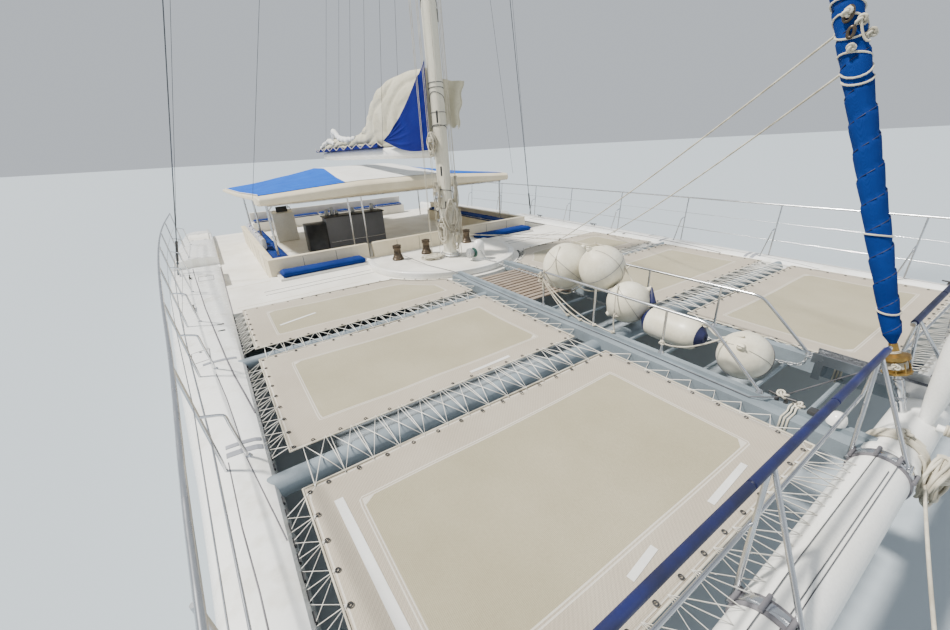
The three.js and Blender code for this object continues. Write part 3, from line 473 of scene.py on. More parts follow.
# %% Plain paints and metals
white_alloy = weathered("white_alloy", (0.88, 0.88, 0.85), (0.78, 0.77, 0.72), 0.38, 1.1, 55, 0.0004)
mast_paint = weathered("mast_paint", (0.74, 0.72, 0.62), (0.58, 0.54, 0.43), 0.42, 1.3, 60, 0.0004,
                       stretch=(1, 1, 0.25))
alloy = weathered("weathered_alloy", (0.275, 0.325, 0.36), (0.185, 0.22, 0.245), 0.5, 2.2, 90, 0.0006,
                  metal=0.25)
stainless = weathered("stainless", (0.66, 0.67, 0.69), (0.50, 0.51, 0.53), 0.2, 3.0, 200, 0.0001, metal=1.0)
galvanised = weathered("galvanised", (0.52, 0.53, 0.54), (0.36, 0.37, 0.37), 0.5, 7.0, 60, 0.001, metal=0.8)
bronze = weathered("bronze", (0.44, 0.29, 0.09), (0.23, 0.14, 0.045), 0.34, 9.0, 120, 0.0005, metal=0.9)
dark_bronze = weathered("dark_bronze", (0.11, 0.082, 0.055), (0.05, 0.038, 0.027), 0.34, 9.0, 120, 0.0006,
                        metal=0.7)
# Black plastic; the same dark finish also paints the shade inside the lacing slots and the mast's exit slots.
black_plastic_and_slot_shade = weathered("black_plastic_and_slot_shade", (0.035, 0.036, 0.038), (0.018, 0.018, 0.02), 0.42, 5.0, 150,
                          0.0004)
gypsy_green = weathered("gypsy_green", (0.05, 0.13, 0.105), (0.03, 0.07, 0.06), 0.4, 7.0, 90, 0.0006,
                        metal=0.5)
engine_paint = weathered("engine_paint", (0.16, 0.19, 0.19), (0.09, 0.11, 0.11), 0.45, 6.0, 80, 0.0006)
antifouling = weathered("antifouling", (0.035, 0.06, 0.16), (0.02, 0.035, 0.10), 0.75, 2.5, 50, 0.0012)
fender_skin = weathered("fender_vinyl", (0.73, 0.70, 0.58), (0.59, 0.54, 0.41), 0.40, 2.6, 26, 0.0008,
                        spread=0.15)
# Navy vinyl; the same finish also paints the shade in the lap step of the headsail roll.
navy_vinyl_and_lap_shade = weathered("navy_vinyl_and_lap_shade", (0.006, 0.010, 0.075), (0.004, 0.006, 0.035), 0.5, 4.0, 70, 0.0008)
panel_cream = weathered("panel_cream", (0.74, 0.66, 0.49), (0.64, 0.56, 0.40), 0.4, 1.4, 60, 0.0005)
white_rope = weathered("white_rope", (0.62, 0.58, 0.47), (0.36, 0.32, 0.24), 0.8, 5.0, 110, 0.0015, sheen=0.2)
dark_rope = weathered("dark_rope", (0.10, 0.10, 0.11), (0.045, 0.045, 0.05), 0.8, 6.0, 110, 0.0012, sheen=0.1)
thread = weathered("lacing_cord", (0.80, 0.79, 0.74), (0.60, 0.57, 0.50), 0.7, 6.0, 160, 0.0006)
print("plain finishes ready")

# %% [markdown]
# The gelcoat of the hulls is glossy and nearly white, with faint tea-coloured streaks that run down from the
# deck. Below the waterline the same skin is antifouling paint, and a thin grey boot stripe parts the two. The
# finish reads the height from the Object coordinates, so the stripe lies level on both hulls.

# %% Hull gelcoat
def make_gelcoat():
    paint, tree, shader = new_finish("hull_gelcoat", 0.2, coat=0.35)
    place = object_place(tree)
    height = axis_of(tree, place, 2)
    streak = noise_of(tree, object_place(tree, (2.2, 2.2, 0.18)), 1.6, 7.0)
    dirt = noise_of(tree, place, 14.0, 5.0, 0.65)
    white = ramp_of(tree, streak, (0.30, (0.70, 0.685, 0.63)), (0.46, (0.83, 0.83, 0.80)),
                    (0.8, (0.86, 0.86, 0.85)))
    white = mix_of(tree, ramp_of(tree, dirt, (0.62, 0.0), (0.80, 0.35)), white, (0.60, 0.58, 0.52))
    below = ramp_of(tree, dirt, (0.3, (0.012, 0.022, 0.062)), (0.7, (0.020, 0.036, 0.088)))
    step = maths(tree, height, 0.055, "GREATER_THAN")
    topside = maths(tree, height, 0.105, "GREATER_THAN")
    colour = mix_of(tree, step, below, mix_of(tree, topside, (0.10, 0.12, 0.16), white))
    tree.links.new(colour, shader.inputs["Base Color"])
    gloss = ramp_of(tree, dirt, (0.35, 0.16), (0.75, 0.34))
    rough = mix_of(tree, step, (0.8, 0.8, 0.8), gloss)
    tree.links.new(rough, shader.inputs["Roughness"])
    bump_of(tree, shader, noise_of(tree, place, 1.1, 0.0), 0.002, 0.2)
    return paint


gelcoat = make_gelcoat()
white_gelcoat = weathered("white_gelcoat", (0.83, 0.83, 0.80), (0.72, 0.70, 0.64), 0.28, 1.8, 30, 0.0003,
                          coat=0.25)

# %% [markdown]
# Deck paint is rougher: a non-skid grain of a few millimetres, greyer where feet and ropes have rubbed it.
# The teak of the grating has lost its oil, so it is grey-brown, with grain along each slat and darker end
# grain.

# %% Deck paint and teak
def make_deck_paint():
    paint, tree, shader = new_finish("deck_paint", 0.55)
    place = object_place(tree)
    slow = noise_of(tree, place, 0.9, 7.0, 0.6)
    grit = noise_of(tree, place, 160.0, 2.0)
    worn = noise_of(tree, place, 5.0, 6.0, 0.7)
    colour = ramp_of(tree, slow, (0.32, (0.66, 0.63, 0.56)), (0.6, (0.80, 0.78, 0.72)))
    colour = mix_of(tree, ramp_of(tree, worn, (0.60, 0.0), (0.78, 0.5)), colour, (0.50, 0.48, 0.43))
    tree.links.new(colour, shader.inputs["Base Color"])
    tree.links.new(ramp_of(tree, worn, (0.3, 0.62), (0.7, 0.42)), shader.inputs["Roughness"])
    bump_of(tree, shader, grit, 0.0015, 0.7)
    return paint


def make_teak():
    paint, tree, shader = new_finish("weathered_teak", 0.78)
    along = object_place(tree, (18.0, 1.4, 18.0))
    grain = noise_of(tree, along, 3.2, 8.0, 0.62)
    patch = noise_of(tree, object_place(tree), 2.2, 3.0)
    colour = ramp_of(tree, grain, (0.25, (0.080, 0.057, 0.040)), (0.5, (0.225, 0.170, 0.125)),
                     (0.75, (0.33, 0.27, 0.205)))
    colour = mix_of(tree, ramp_of(tree, patch, (0.4, 0.0), (0.65, 0.5)), colour, (0.27, 0.235, 0.20))
    tree.links.new(colour, shader.inputs["Base Color"])
    bump_of(tree, shader, grain, 0.003, 0.8)
    return paint


deck_paint = make_deck_paint()
teak = make_teak()

# %% [markdown]
# Cloth needs threads. The boat's blue canvas, its cream sailcloth and the covers of the cushions share one
# recipe: two crossed waves make the weave at its real pitch, a slow noise fades the dye, and sheen gives the
# soft edge that cloth has in the sun.

# %% Cloth finishes
CLOTH_SHINE = 0.12


def make_cloth(name, light, faded, roughness, pitch, relief, sheen=0.3, wrinkle=0.0):
    paint, tree, shader = new_finish(name, roughness, sheen=sheen)
    shader.inputs["Specular IOR Level"].default_value = CLOTH_SHINE
    place = object_place(tree, output="Object")
    weave = maths(tree, wave_of(tree, place, pitch, 0.4, "X"), wave_of(tree, place, pitch, 0.4, "Y"),
                  "MULTIPLY")
    fade = noise_of(tree, place, 1.7, 6.0, 0.6)
    soil = noise_of(tree, place, 9.0, 5.0, 0.7)
    colour = ramp_of(tree, fade, (0.35, light), (0.7, faded))
    colour = mix_of(tree, ramp_of(tree, soil, (0.58, 0.0), (0.8, 0.35)), colour,
                    [channel * 0.62 for channel in light])
    colour = mix_of(tree, 0.35, colour, ramp_of(tree, weave, (0.0, 0.7), (0.6, 1.0)), "MULTIPLY")
    tree.links.new(colour, shader.inputs["Base Color"])
    height = weave
    if wrinkle:
        folds = noise_of(tree, object_place(tree, (1, 1, 2.2), output="Object"), 3.2, 4.0, 0.5)
        height = maths(tree, maths(tree, folds, wrinkle, "MULTIPLY"), weave)
    bump_of(tree, shader, height, relief)
    return paint


royal_blue = make_cloth("royal_blue_canvas", (0.001, 0.020, 0.135), (0.003, 0.034, 0.20), 0.8, 120, 0.0010,
                        0.0)
flap_blue = make_cloth("flap_blue_canvas", (0.0005, 0.004, 0.11), (0.001, 0.009, 0.16), 0.8, 120, 0.0010, 0.0)
roof_blue = make_cloth("roof_blue_canvas", (0.001, 0.085, 0.46), (0.002, 0.115, 0.56), 0.8, 110, 0.0010, 0.0)
cushion_blue = make_cloth("cushion_blue", (0.002, 0.019, 0.13), (0.004, 0.032, 0.19), 0.7, 150, 0.0008, 0.0)
sailcloth = make_cloth("cream_sailcloth", (0.62, 0.585, 0.45), (0.50, 0.46, 0.33), 0.62, 60, 0.0016, 0.1,
                       wrinkle=14)
roof_white = make_cloth("roof_white_canvas", (0.82, 0.82, 0.79), (0.74, 0.73, 0.68), 0.6, 90, 0.0008, 0.15)
white_webbing = make_cloth("white_webbing", (0.82, 0.82, 0.80), (0.70, 0.69, 0.65), 0.7, 90, 0.0010, 0.2)
print("cloth finishes ready")

# %% [markdown]
# The nets are a close weave of beige yarn with a doubled border, sewn down on its inner edge, that looks
# paler and pinker. Every net mesh carries an attribute, edge, with the distance to the nearest edge, and its
# own UV map in metres, so that border, stitching and weave follow the cloth.

# %% Net cloth
BORDER = 0.40


def make_net_cloth():
    paint, tree, shader = new_finish("net_cloth", 0.85, sheen=0.15)
    place = object_place(tree, output="UV")
    edge = tree.nodes.new("ShaderNodeAttribute")
    edge.attribute_name = "edge"
    edge = edge.outputs["Fac"]
    slow = noise_of(tree, place, 0.8, 6.0, 0.62)
    flock = noise_of(tree, place, 38.0, 3.0, 0.7)
    threads = maths(tree, wave_of(tree, place, 26.0, 0.5, "X"), wave_of(tree, place, 26.0, 0.5, "Y"),
                    "MULTIPLY")
    diagonal = wave_of(tree, object_place(tree, turn=(0, 0, 0.8), output="UV"), 11.0, 1.2, "X")
    middle = ramp_of(tree, slow, (0.34, (0.340, 0.300, 0.195)), (0.66, (0.395, 0.352, 0.240)))
    middle = mix_of(tree, 0.30, middle, ramp_of(tree, flock, (0.30, 0.72), (0.66, 1.0)), "MULTIPLY")
    border = ramp_of(tree, slow, (0.34, (0.405, 0.350, 0.268)), (0.66, (0.465, 0.410, 0.325)))
    border = mix_of(tree, 0.34, border, ramp_of(tree, diagonal, (0.2, 0.74), (0.8, 1.0)), "MULTIPLY")
    inside = maths(tree, edge, BORDER, "GREATER_THAN")
    colour = mix_of(tree, inside, border, middle)
    for line in (BORDER - 0.004, BORDER - 0.03, 0.03):
        near = maths(tree, maths(tree, maths(tree, edge, line, "SUBTRACT"), 0.0, "ABSOLUTE"), 0.006,
                     "LESS_THAN")
        colour = mix_of(tree, maths(tree, near, 0.55, "MULTIPLY"), colour, (0.74, 0.71, 0.64))
    colour = mix_of(tree, 0.22, colour, ramp_of(tree, threads, (0.0, 0.55), (0.5, 1.0)), "MULTIPLY")
    tree.links.new(colour, shader.inputs["Base Color"])
    height = maths(tree, threads, maths(tree, flock, 1.4, "MULTIPLY"))
    height = maths(tree, height, maths(tree, inside, -1.2, "MULTIPLY"))
    bump_of(tree, shader, height, 0.0022)
    return paint


net_cloth = make_net_cloth()
print("net cloth ready, with a border of", BORDER, "m")

# %% [markdown]
# The hulls are moulded skins with a crowned deck. Their CAD solids have the right shape, so a copy of each is
# merged into one surface. Its normals are then worked out afresh by the angle of each edge, so that the crown
# shades smooth while the gate and the stern steps stay crisp.

# %% Hull skins
for side in ("starboard", "port"):
    hull = copy_of(f"hull_{side}", f"hull_skin_{side}", 30)
    finish(hull, gelcoat, hides=[f"hull_{side}"])
    print(count(hull))

# %% [markdown]
# Much of the rest keeps its CAD shape too. Round pieces are copied and shaded smooth, and boxy ones get a
# small bevel on their corners. The table lists each node, its new name, how sharp an edge may stay, the width
# of the bevel, the finish, a slot name and the body that it rides on.

# %% Pieces that keep their CAD shape
# node, name, smooth angle, bevel, finish, slot, body
KEPT_SHAPES = [
    ("middle_crossbeam", "middle_beam_tube", 40, 0, alloy, "alloy", "platform"),
    ("aft_crossbeam", "aft_beam_tube", 40, 0, alloy, "alloy", "platform"),
    ("stay_foot", "stay_foot_fitting", 40, 0, stainless, "stainless", "platform"),
    ("stay_head", "stay_head_fitting", 40, 0, stainless, "stainless", "platform"),
    ("striker_post", "striker_post_turned", 50, 0, white_alloy, "white_alloy", "platform"),
    ("bowsprit", "bowsprit_spar", 40, 0, white_alloy, "white_alloy", "platform"),
    ("anchor", "anchor_forged", 30, 0.006, galvanised, "galvanised", "platform"),
    ("roof_frame", "roof_posts", 50, 0, stainless, "stainless", "platform"),
    ("boom", "boom_spar", 40, 0, white_alloy, "white_alloy", "boom"),
    ("furler_drum", "furler_drum_spool", 40, 0, bronze, "bronze", "furler"),
    ("helm_console", "helm_pedestal", 40, 0.02, white_gelcoat, "gelcoat", "platform"),
]
UNDER_WATER = [
    ("shaft_strut", "shaft_and_strut", bronze, "bronze", "platform"),
    ("propeller", "propeller_cast", bronze, "bronze", "propeller"),
    ("rudder", "rudder_blade", antifouling, "antifouling", "rudder"),
]
for side in ("starboard", "port"):
    for node, name, paint, slot, body in UNDER_WATER:
        where = body if body == "platform" else f"{body}_{side}"
        KEPT_SHAPES.append((f"{node}_{side}", f"{name}_{side}", 35, 0, paint, slot, where))
for node, name, angle, width, paint, slot, body in KEPT_SHAPES:
    piece = copy_of(node, name, angle)
    if width:
        apply_modifier(piece, "BEVEL", width=width, segments=2, limit_method="ANGLE", angle_limit=0.6)
        smooth(piece, angle)
    finish(piece, paint, body, hides=[node])
print(len(KEPT_SHAPES), "pieces keep their CAD shape")

# %% CAD nodes that stay as they are
PLAIN_NODES = {
    "main_deck": deck_paint,
    "walkway_frame": alloy,
    "anchor_roller": stainless,
    "engine_port": engine_paint,
    "engine_starboard": engine_paint,
}
for node, paint in PLAIN_NODES.items():
    CAD[node].data.materials.clear()
    CAD[node].data.materials.append(paint)
print(len(PLAIN_NODES), "CAD nodes keep their mesh")

# %% [markdown]
# A net is a flat cloth, laced tight but not quite flat, so its middle sags a few centimetres under its own
# weight. A grid is added at its size, and its points are moved in code onto the cut of each net: two oblong
# ones on each side, and an aft one whose inner edge follows the rounded nose of the deck.

# %% Net sizes
NET_INNER = 1.02
NET_OUTER = 5.03
NET_LEVEL = 1.55
NOSE_CENTRE = 0.70
NOSE_CLEAR = 2.28
# name, front edge, aft edge, rows along the boat, rows across, sag
NET_TABLE = [
    ("front", 9.48, 7.12, 30, 40, 0.055),
    ("middle", 6.54, 4.19, 30, 40, 0.05),
    ("aft", 3.77, 1.80, 26, 40, 0.035),
]


def aft_edge(name, aft, y):
    """How far aft the cloth reaches at a distance y from the centreline."""
    if name != "aft":
        return aft
    if y < 1.93:
        return NOSE_CENTRE + math.sqrt(max(0.0, NOSE_CLEAR ** 2 - y ** 2))
    if y < 2.5:
        return 1.912 + (1.83 - 1.912) * (y - 1.93) / 0.57
    return 1.83 + (1.73 - 1.83) * (y - 2.5) / 2.53


def net_level(row, x, y):
    """The height of a net's cloth, which hangs between its edges."""
    _, front, aft, _, _, sag = row
    along = min(1.0, max(0.0, (x - aft) / (front - aft)))
    across = min(1.0, max(0.0, (y - NET_INNER) / (NET_OUTER - NET_INNER)))
    hang = math.sin(math.pi * along) * math.sin(math.pi * across)
    return NET_LEVEL - sag * hang ** 0.6 + 0.012 * noise.noise(Vector((x * 1.3, y * 1.3, front)))


def inset_of(x, y, front, aft):
    return max(0.0, min(x - aft, front - x, y - NET_INNER, NET_OUTER - y))


# %% Net cloths
def make_net(row):
    name, front, aft, rows, columns, _ = row
    bpy.ops.object.select_all(action="DESELECT")
    bpy.ops.mesh.primitive_grid_add(x_subdivisions=rows, y_subdivisions=columns, size=1,
                                    location=((front + aft) / 2, 3.0, NET_LEVEL))
    net = bpy.context.object
    net.name = f"net_cloth_{name}"
    edges = []
    places = []
    for vertex in net.data.vertices:
        along, across = vertex.co.x + 0.5, vertex.co.y + 0.5
        y = NET_INNER + (NET_OUTER - NET_INNER) * across
        back = aft_edge(name, aft, y)
        x = back + (front - back) * along
        scallop = 0.006 * math.sin(y * 22.0) * abs(along - 0.5) * 2
        z = net_level(row, x, y)
        edges.append(inset_of(x, y, front, back))
        places.append((x + scallop * 0.4, y))
        vertex.co = Vector((x, y, z)) - net.location
    attribute = net.data.attributes.new("edge", "FLOAT", "POINT")
    attribute.data.foreach_set("value", edges)
    layer = net.data.uv_layers.active or net.data.uv_layers.new(name="UVMap")
    for loop in net.data.loops:
        layer.data[loop.index].uv = places[loop.vertex_index]
    settle(net)
    for face in net.data.polygons:
        face.use_smooth = True
    area = sum(face.area for face in net.data.polygons)
    apply_modifier(net, "SOLIDIFY", thickness=0.005, offset=0)
    return net, area


net_area = 0.0
for row in NET_TABLE:
    name, front, aft = row[:3]
    port_net, area = make_net(row)
    starboard_net = mirror_copy(port_net, f"net_cloth_{name}_starboard")
    port_net.name = f"net_cloth_{name}_port"
    for side, net in (("port", port_net), ("starboard", starboard_net)):
        finish(net, net_cloth, hides=[f"net_{name}_{side}"])
    net_area += 2 * area
print("six nets,", round(net_area, 1), "square metres of cloth")

# %% [markdown]
# Where feet have worn the starboard nets, long white strips of cloth are sewn on. Each strip is a narrow
# sheet that lies on the net and follows its sag.

# %% White strips on the nets
# row of the net table, start, end, width
STRIPS = [
    (0, (7.40, 4.80), (9.10, 4.74), 0.075),
    (0, (9.20, 1.72), (9.24, 2.36), 0.055),
    (0, (9.20, 3.05), (9.24, 3.38), 0.055),
    (1, (6.36, 2.12), (6.38, 2.78), 0.055),
    (2, (2.75, 3.90), (2.95, 4.55), 0.050),
]


def make_strip(number, which, start, end, width):
    start, end = Vector((*start, 0)), Vector((*end, 0))
    way = (end - start).normalized()
    side = Vector((-way.y, way.x, 0))
    bpy.ops.object.select_all(action="DESELECT")
    bpy.ops.mesh.primitive_grid_add(x_subdivisions=40, y_subdivisions=3, size=1)
    strip = bpy.context.object
    strip.name = f"net_strip_{number}"
    for vertex in strip.data.vertices:
        point = start + (end - start) * (vertex.co.x + 0.5) + side * vertex.co.y * width
        level = net_level(NET_TABLE[which], point.x, point.y)
        vertex.co = (point.x, -point.y, level + 0.0055)
    settle(strip)
    strip.data.flip_normals()
    apply_modifier(strip, "SOLIDIFY", thickness=0.002, offset=0)
    smooth(strip, 60)
    return strip


for number, row in enumerate(STRIPS):
    strip = make_strip(number, *row)
    finish(strip, white_webbing)
print(len(STRIPS), "strips sewn on")

# %% [markdown]
# Round each net runs a white bolt rope, with a black-rimmed eyelet about every foot. One cord is laced in a
# zigzag from eyelet to hook: over the crossbeams, into the slots of the hull and round the walkway's channel.

# %% Bolt ropes and eyelets
EYE_PITCH = 0.28


def net_rim(name, front, aft):
    """The corner points of a net's edge on the port side, in order, close together along the curved part."""
    ys = [NET_INNER + (NET_OUTER - NET_INNER) * step / 30 for step in range(31)]
    back = [(aft_edge(name, aft, y), y) for y in ys]
    return [(front, NET_INNER), (front, NET_OUTER)] + back[::-1] + [(front, NET_INNER)]


def walk(points, pitch):
    """Points at an even pitch along an outline, with the direction there."""
    found = []
    left = pitch / 2
    for (x0, y0), (x1, y1) in zip(points, points[1:]):
        length = math.hypot(x1 - x0, y1 - y0)
        while left < length:
            share = left / length
            found.append((x0 + (x1 - x0) * share, y0 + (y1 - y0) * share, (x1 - x0) / length,
                          (y1 - y0) / length))
            left += pitch
        left -= length
    return found


bolt_ropes, eyelets = [], []
for name, front, aft, *_ in NET_TABLE:
    rim = net_rim(name, front, aft)
    bolt_ropes.append(rod([(x, y, NET_LEVEL + 0.004) for x, y in rim], 0.011))
    for x, y, along_x, along_y in walk(rim, EYE_PITCH):
        inward = Vector((along_y, -along_x, 0)) * -0.045
        eyelets.append((x - inward.x, y - inward.y) if inset_of(x - inward.x, y - inward.y, front, aft) else
                       (x + inward.x, y + inward.y))
bpy.ops.object.select_all(action="DESELECT")
bpy.ops.mesh.primitive_torus_add(major_segments=10, minor_segments=4, major_radius=0.016, minor_radius=0.006,
                                 location=(0, 0, 0))
eyelet = bpy.context.object
rings = []
for x, y in eyelets:
    ring = eyelet.copy()
    ring.data = eyelet.data.copy()
    bpy.context.scene.collection.objects.link(ring)
    ring.data.transform(Matrix.Translation((x, y, NET_LEVEL + 0.006)))
    rings.append(ring)
bpy.data.objects.remove(eyelet)
for side in ("port", "starboard"):
    if side == "port":
        bolt = join("net_bolt_ropes_port", bolt_ropes)
        eyes = join("net_eyelets_port", rings)
    else:
        bolt, eyes = mirror_copy(bolt, "net_bolt_ropes_starboard"), mirror_copy(eyes, "net_eyelets_starboard")
    finish(bolt, white_rope)
    finish(eyes, black_plastic_and_slot_shade)
print(count(bolt), "and", len(eyelets), "eyelets a side")

# %% Lacing
HULL_HOOK = (5.218, 1.452)
CORD = 0.0055


def zigzag(start, stop, here, there, rise=0.0, shift=0.0):
    """Cord points from one line to another and back, at the eyelets' pitch, along X or Y as the lines say."""
    points = []
    steps = max(1, round(abs(stop - start) / EYE_PITCH))
    pitch = (stop - start) / steps
    for step in range(steps):
        low = start + pitch * step
        middle = start + pitch * (step + 0.5 + shift)
        points.append(here(low))
        if rise:
            a, b = Vector(here(low)), Vector(there(middle))
            points.append(((a.x + b.x) / 2, (a.y + b.y) / 2, max(a.z, b.z) + rise))
        points.append(there(middle))
        if rise:
            a = Vector(here(low + pitch))
            points.append(((a.x + b.x) / 2, (a.y + b.y) / 2, max(a.z, b.z) + rise))
    points.append(here(stop))
    return points


def make_lacing():
    laces = []
    eye = NET_LEVEL + 0.008
    for name, front, aft, *_ in NET_TABLE:
        outer = aft + 0.08 if name != "aft" else 1.85
        inner = aft + 0.08 if name != "aft" else 2.85
        for shift in (-0.34, 0.30):
            laces.append(zigzag(outer, front - 0.08, lambda x: (x, NET_OUTER - 0.03, eye),
                                lambda x: (x, *HULL_HOOK), shift=shift))
        laces.append(zigzag(inner, front - 0.08, lambda x: (x, NET_INNER + 0.03, eye),
                            lambda x: (x, 0.868, 1.575), shift=0.25))
    ends = (NET_INNER + 0.1, NET_OUTER - 0.1)
    for shift in (-0.3, 0.2):
        laces.append(zigzag(*ends, lambda y: (9.45, y, eye), lambda y: (9.78, y, 1.655), shift=shift))
    for shift in (-0.42, 0.42):
        laces.append(zigzag(*ends, lambda y: (7.15, y, eye), lambda y: (6.51, y, eye), 0.013, shift))
        laces.append(zigzag(*ends, lambda y: (4.22, y, eye), lambda y: (3.74, y, eye), 0.006, shift))
    laces.append(zigzag(2.6, 4.95, lambda y: (aft_edge("aft", 1.8, y) + 0.03, y, eye),
                        lambda y: (1.64, y, 1.485)))
    nose = []
    for step in range(16):
        for degrees, radius, z in ((27 + step * 2, NOSE_CLEAR + 0.03, eye), (28 + step * 2, 2.145, 1.485)):
            a = math.radians(degrees)
            nose.append((NOSE_CENTRE + radius * math.cos(a), radius * math.sin(a), z))
    laces.append(nose)
    return [rod(points, CORD, sides=4) for points in laces]


lacing = join("net_lacing_port", make_lacing())
for side in ("port", "starboard"):
    if side == "starboard":
        lacing = mirror_copy(lacing, "net_lacing_starboard")
    finish(lacing, thread)
print(count(lacing))

# %% [markdown]
# The cord goes into slots along the hull's inner edge and along the front edge of the deck. A slot is drawn
# as a dark block set into the edge, painted shade for the inside of the opening, made once and copied at an
# even pitch.

# %% Lacing slots
SLOT_PITCH = 0.165


def make_lacing_slot_shade():
    places = []
    for step in range(48):
        places.append((1.75 + step * SLOT_PITCH, 5.214, 1.452, 0.0))
    for step in range(17):
        places.append((1.655, 2.45 + step * SLOT_PITCH * 0.95, 1.478, math.pi / 2))
    for step in range(13):
        a = math.radians(26 + step * 3.1)
        places.append((NOSE_CENTRE + 2.16 * math.cos(a), 2.16 * math.sin(a), 1.478, a + math.pi / 2))
    # Each dark block is painted shade that stands for the inside of a lacing slot.
    first = lump((-0.042, -0.026, -0.016), (0.042, 0.026, 0.016), "slot")
    slots = [first]
    for x, y, z, turn in places:
        slot = first.copy()
        slot.data = first.data.copy()
        bpy.context.scene.collection.objects.link(slot)
        slot.data.transform(Matrix.Translation((x, y, z)) @ Matrix.Rotation(turn, 4, "Z"))
        slots.append(slot)
    bpy.data.objects.remove(slots.pop(0))
    return join("lacing_slot_shade_port", slots)


lacing_slot_shade = make_lacing_slot_shade()
finish(lacing_slot_shade, black_plastic_and_slot_shade)
finish(mirror_copy(lacing_slot_shade, "lacing_slot_shade_starboard"), black_plastic_and_slot_shade)
print(count(lacing_slot_shade))

# %% [markdown]
# The guard rails are stainless: a round top tube, a thin wire, a thicker lower tube, and stanchions that lean
# out and are propped by a bent brace with a knee. The CAD solid has faceted tubes, so each rail is drawn
# again on the same points as smooth rods, and every stanchion and brace gets a round foot plate.

# %% Guard rails
HULL_ROWS = [  # x, outer side
    (-11.70, 6.100), (-10.40, 6.220), (-7.50, 6.380), (-3.50, 6.440), (0.50, 6.300), (3.50, 6.105),
    (6.50, 5.855), (8.80, 5.715), (10.40, 5.560), (11.30, 5.440), (11.70, 5.375)]
RAIL_POSTS = [10.90, 8.75, 6.46, 4.21, 1.96, -0.29, -2.30, -4.60, -7.00]
RAIL_TOP, RAIL_WIRES = 2.70, (2.305, 1.915)
RAIL_FOOT, RAIL_HEAD = 0.29, 0.20


def hull_side(x):
    for (x0, y0), (x1, y1) in zip(HULL_ROWS, HULL_ROWS[1:]):
        if x <= x1:
            return y0 + (y1 - y0) * (x - x0) / (x1 - x0)
    return HULL_ROWS[-1][1]


def rail_point(x, z):
    lean = (z - 1.5) / (RAIL_TOP - 1.5)
    return (x, hull_side(x) - RAIL_FOOT + lean * (RAIL_FOOT - RAIL_HEAD), z)


def make_guard_rail():
    parts = [rod([rail_point(x, RAIL_TOP) for x in RAIL_POSTS], 0.019, sides=12, bent=True)]
    for z, radius in zip(RAIL_WIRES, (0.005, 0.009)):
        parts.append(rod([rail_point(x, z) for x in RAIL_POSTS], radius))
    nose = rail_point(RAIL_POSTS[0], RAIL_TOP)
    parts.append(rod([nose, (nose[0] + 0.2, nose[1] - 0.03, RAIL_TOP), (nose[0] + 0.36, nose[1] - 0.06, 2.5),
                      (nose[0] + 0.36, nose[1] - 0.07, 1.555)], 0.019, sides=12, bent=True))
    for x in RAIL_POSTS:
        foot = rail_point(x, 1.5)
        parts.append(rod([rail_point(x, 1.5), rail_point(x, 2.05), rail_point(x, RAIL_TOP)], 0.016, sides=12))
        knee = (x, rail_point(x, 2.2)[1] - 0.19, 2.11)
        parts.append(rod([rail_point(x, 2.2), (x, knee[1] + 0.02, 2.16), knee, (x - 0.02, knee[1], 2.02),
                          (x - 0.11, foot[1] - 0.19, 1.53)], 0.014, sides=12, bent=True))
        for px, py, pz in ((x, foot[1], 1.50), (x - 0.11, foot[1] - 0.19, 1.53)):
            parts.append(drum((px, py, pz), (px, py, pz + 0.05), 0.052, sides=18, end_radius=0.024))
    return parts


guard_rail = join("guard_rail_tubes_port", make_guard_rail())
finish(guard_rail, stainless, hides=["guard_rail_port"])
finish(mirror_copy(guard_rail, "guard_rail_tubes_starboard"), stainless,
       hides=["guard_rail_starboard"])
print(count(guard_rail))

# %% [markdown]
# Over the front crossbeam stands a double rail for the crew on the bow. Its top tube is bent down at the
# outboard end and carries a long navy pad, and its legs rise from two clamp bands round the beam.

# %% Front crossbeam and its rails
BEAM_X, BEAM_Z, BEAM_R = 9.9, 1.48, 0.20
PAD_X, PAD_Z = 9.61, 2.41


def make_beam():
    beam = copy_of("front_crossbeam", "front_beam_tube", 40)
    rings = [drum((BEAM_X, y - 0.05, BEAM_Z), (BEAM_X, y + 0.05, BEAM_Z), BEAM_R + 0.012, sides=48,
                  soft=0.006)
             for y in (-5.05, -4.4, -0.75, 0.75, 4.4, 5.05)]
    return join("front_beam_tube", [beam] + rings)


finish(make_beam(), white_alloy, hides=["front_crossbeam"])


def make_beam_rail():
    top = rod([(PAD_X, 0.38, PAD_Z), (PAD_X, 2.5, PAD_Z), (PAD_X, 4.38, PAD_Z),
               (PAD_X + 0.06, 4.56, PAD_Z - 0.09),
               (BEAM_X - 0.09, 4.62, BEAM_Z + 0.2)], 0.021, sides=12, bent=True)
    parts = [top]
    parts.append(rod([(PAD_X - 0.02, 0.63, 2.0), (PAD_X + 0.04, 4.53, 2.0), (PAD_X + 0.06, 4.57, 2.29)],
                     0.014, sides=12, bent=True))
    parts.append(rod([(PAD_X, 0.63, PAD_Z), (PAD_X - 0.02, 0.63, 1.99)], 0.014, sides=12))
    for y in (0.91, 2.98):
        parts.append(drum((BEAM_X, y - 0.035, BEAM_Z), (BEAM_X, y + 0.035, BEAM_Z), BEAM_R + 0.02, sides=48,
                          soft=0.005))
        parts.append(rod([(BEAM_X - 0.205, y, BEAM_Z + 0.03), (PAD_X, y - 0.26, PAD_Z)], 0.017, sides=12))
        parts.append(rod([(BEAM_X + 0.14, y, BEAM_Z + 0.16), (PAD_X, y - 0.30, PAD_Z)], 0.017, sides=12))
        for dx, dz in ((-0.215, 0.05), (0.15, 0.175)):
            parts.append(drum((BEAM_X + dx, y - 0.045, BEAM_Z + dz), (BEAM_X + dx, y + 0.045, BEAM_Z + dz),
                              0.018, sides=12, soft=0.003))
    return parts


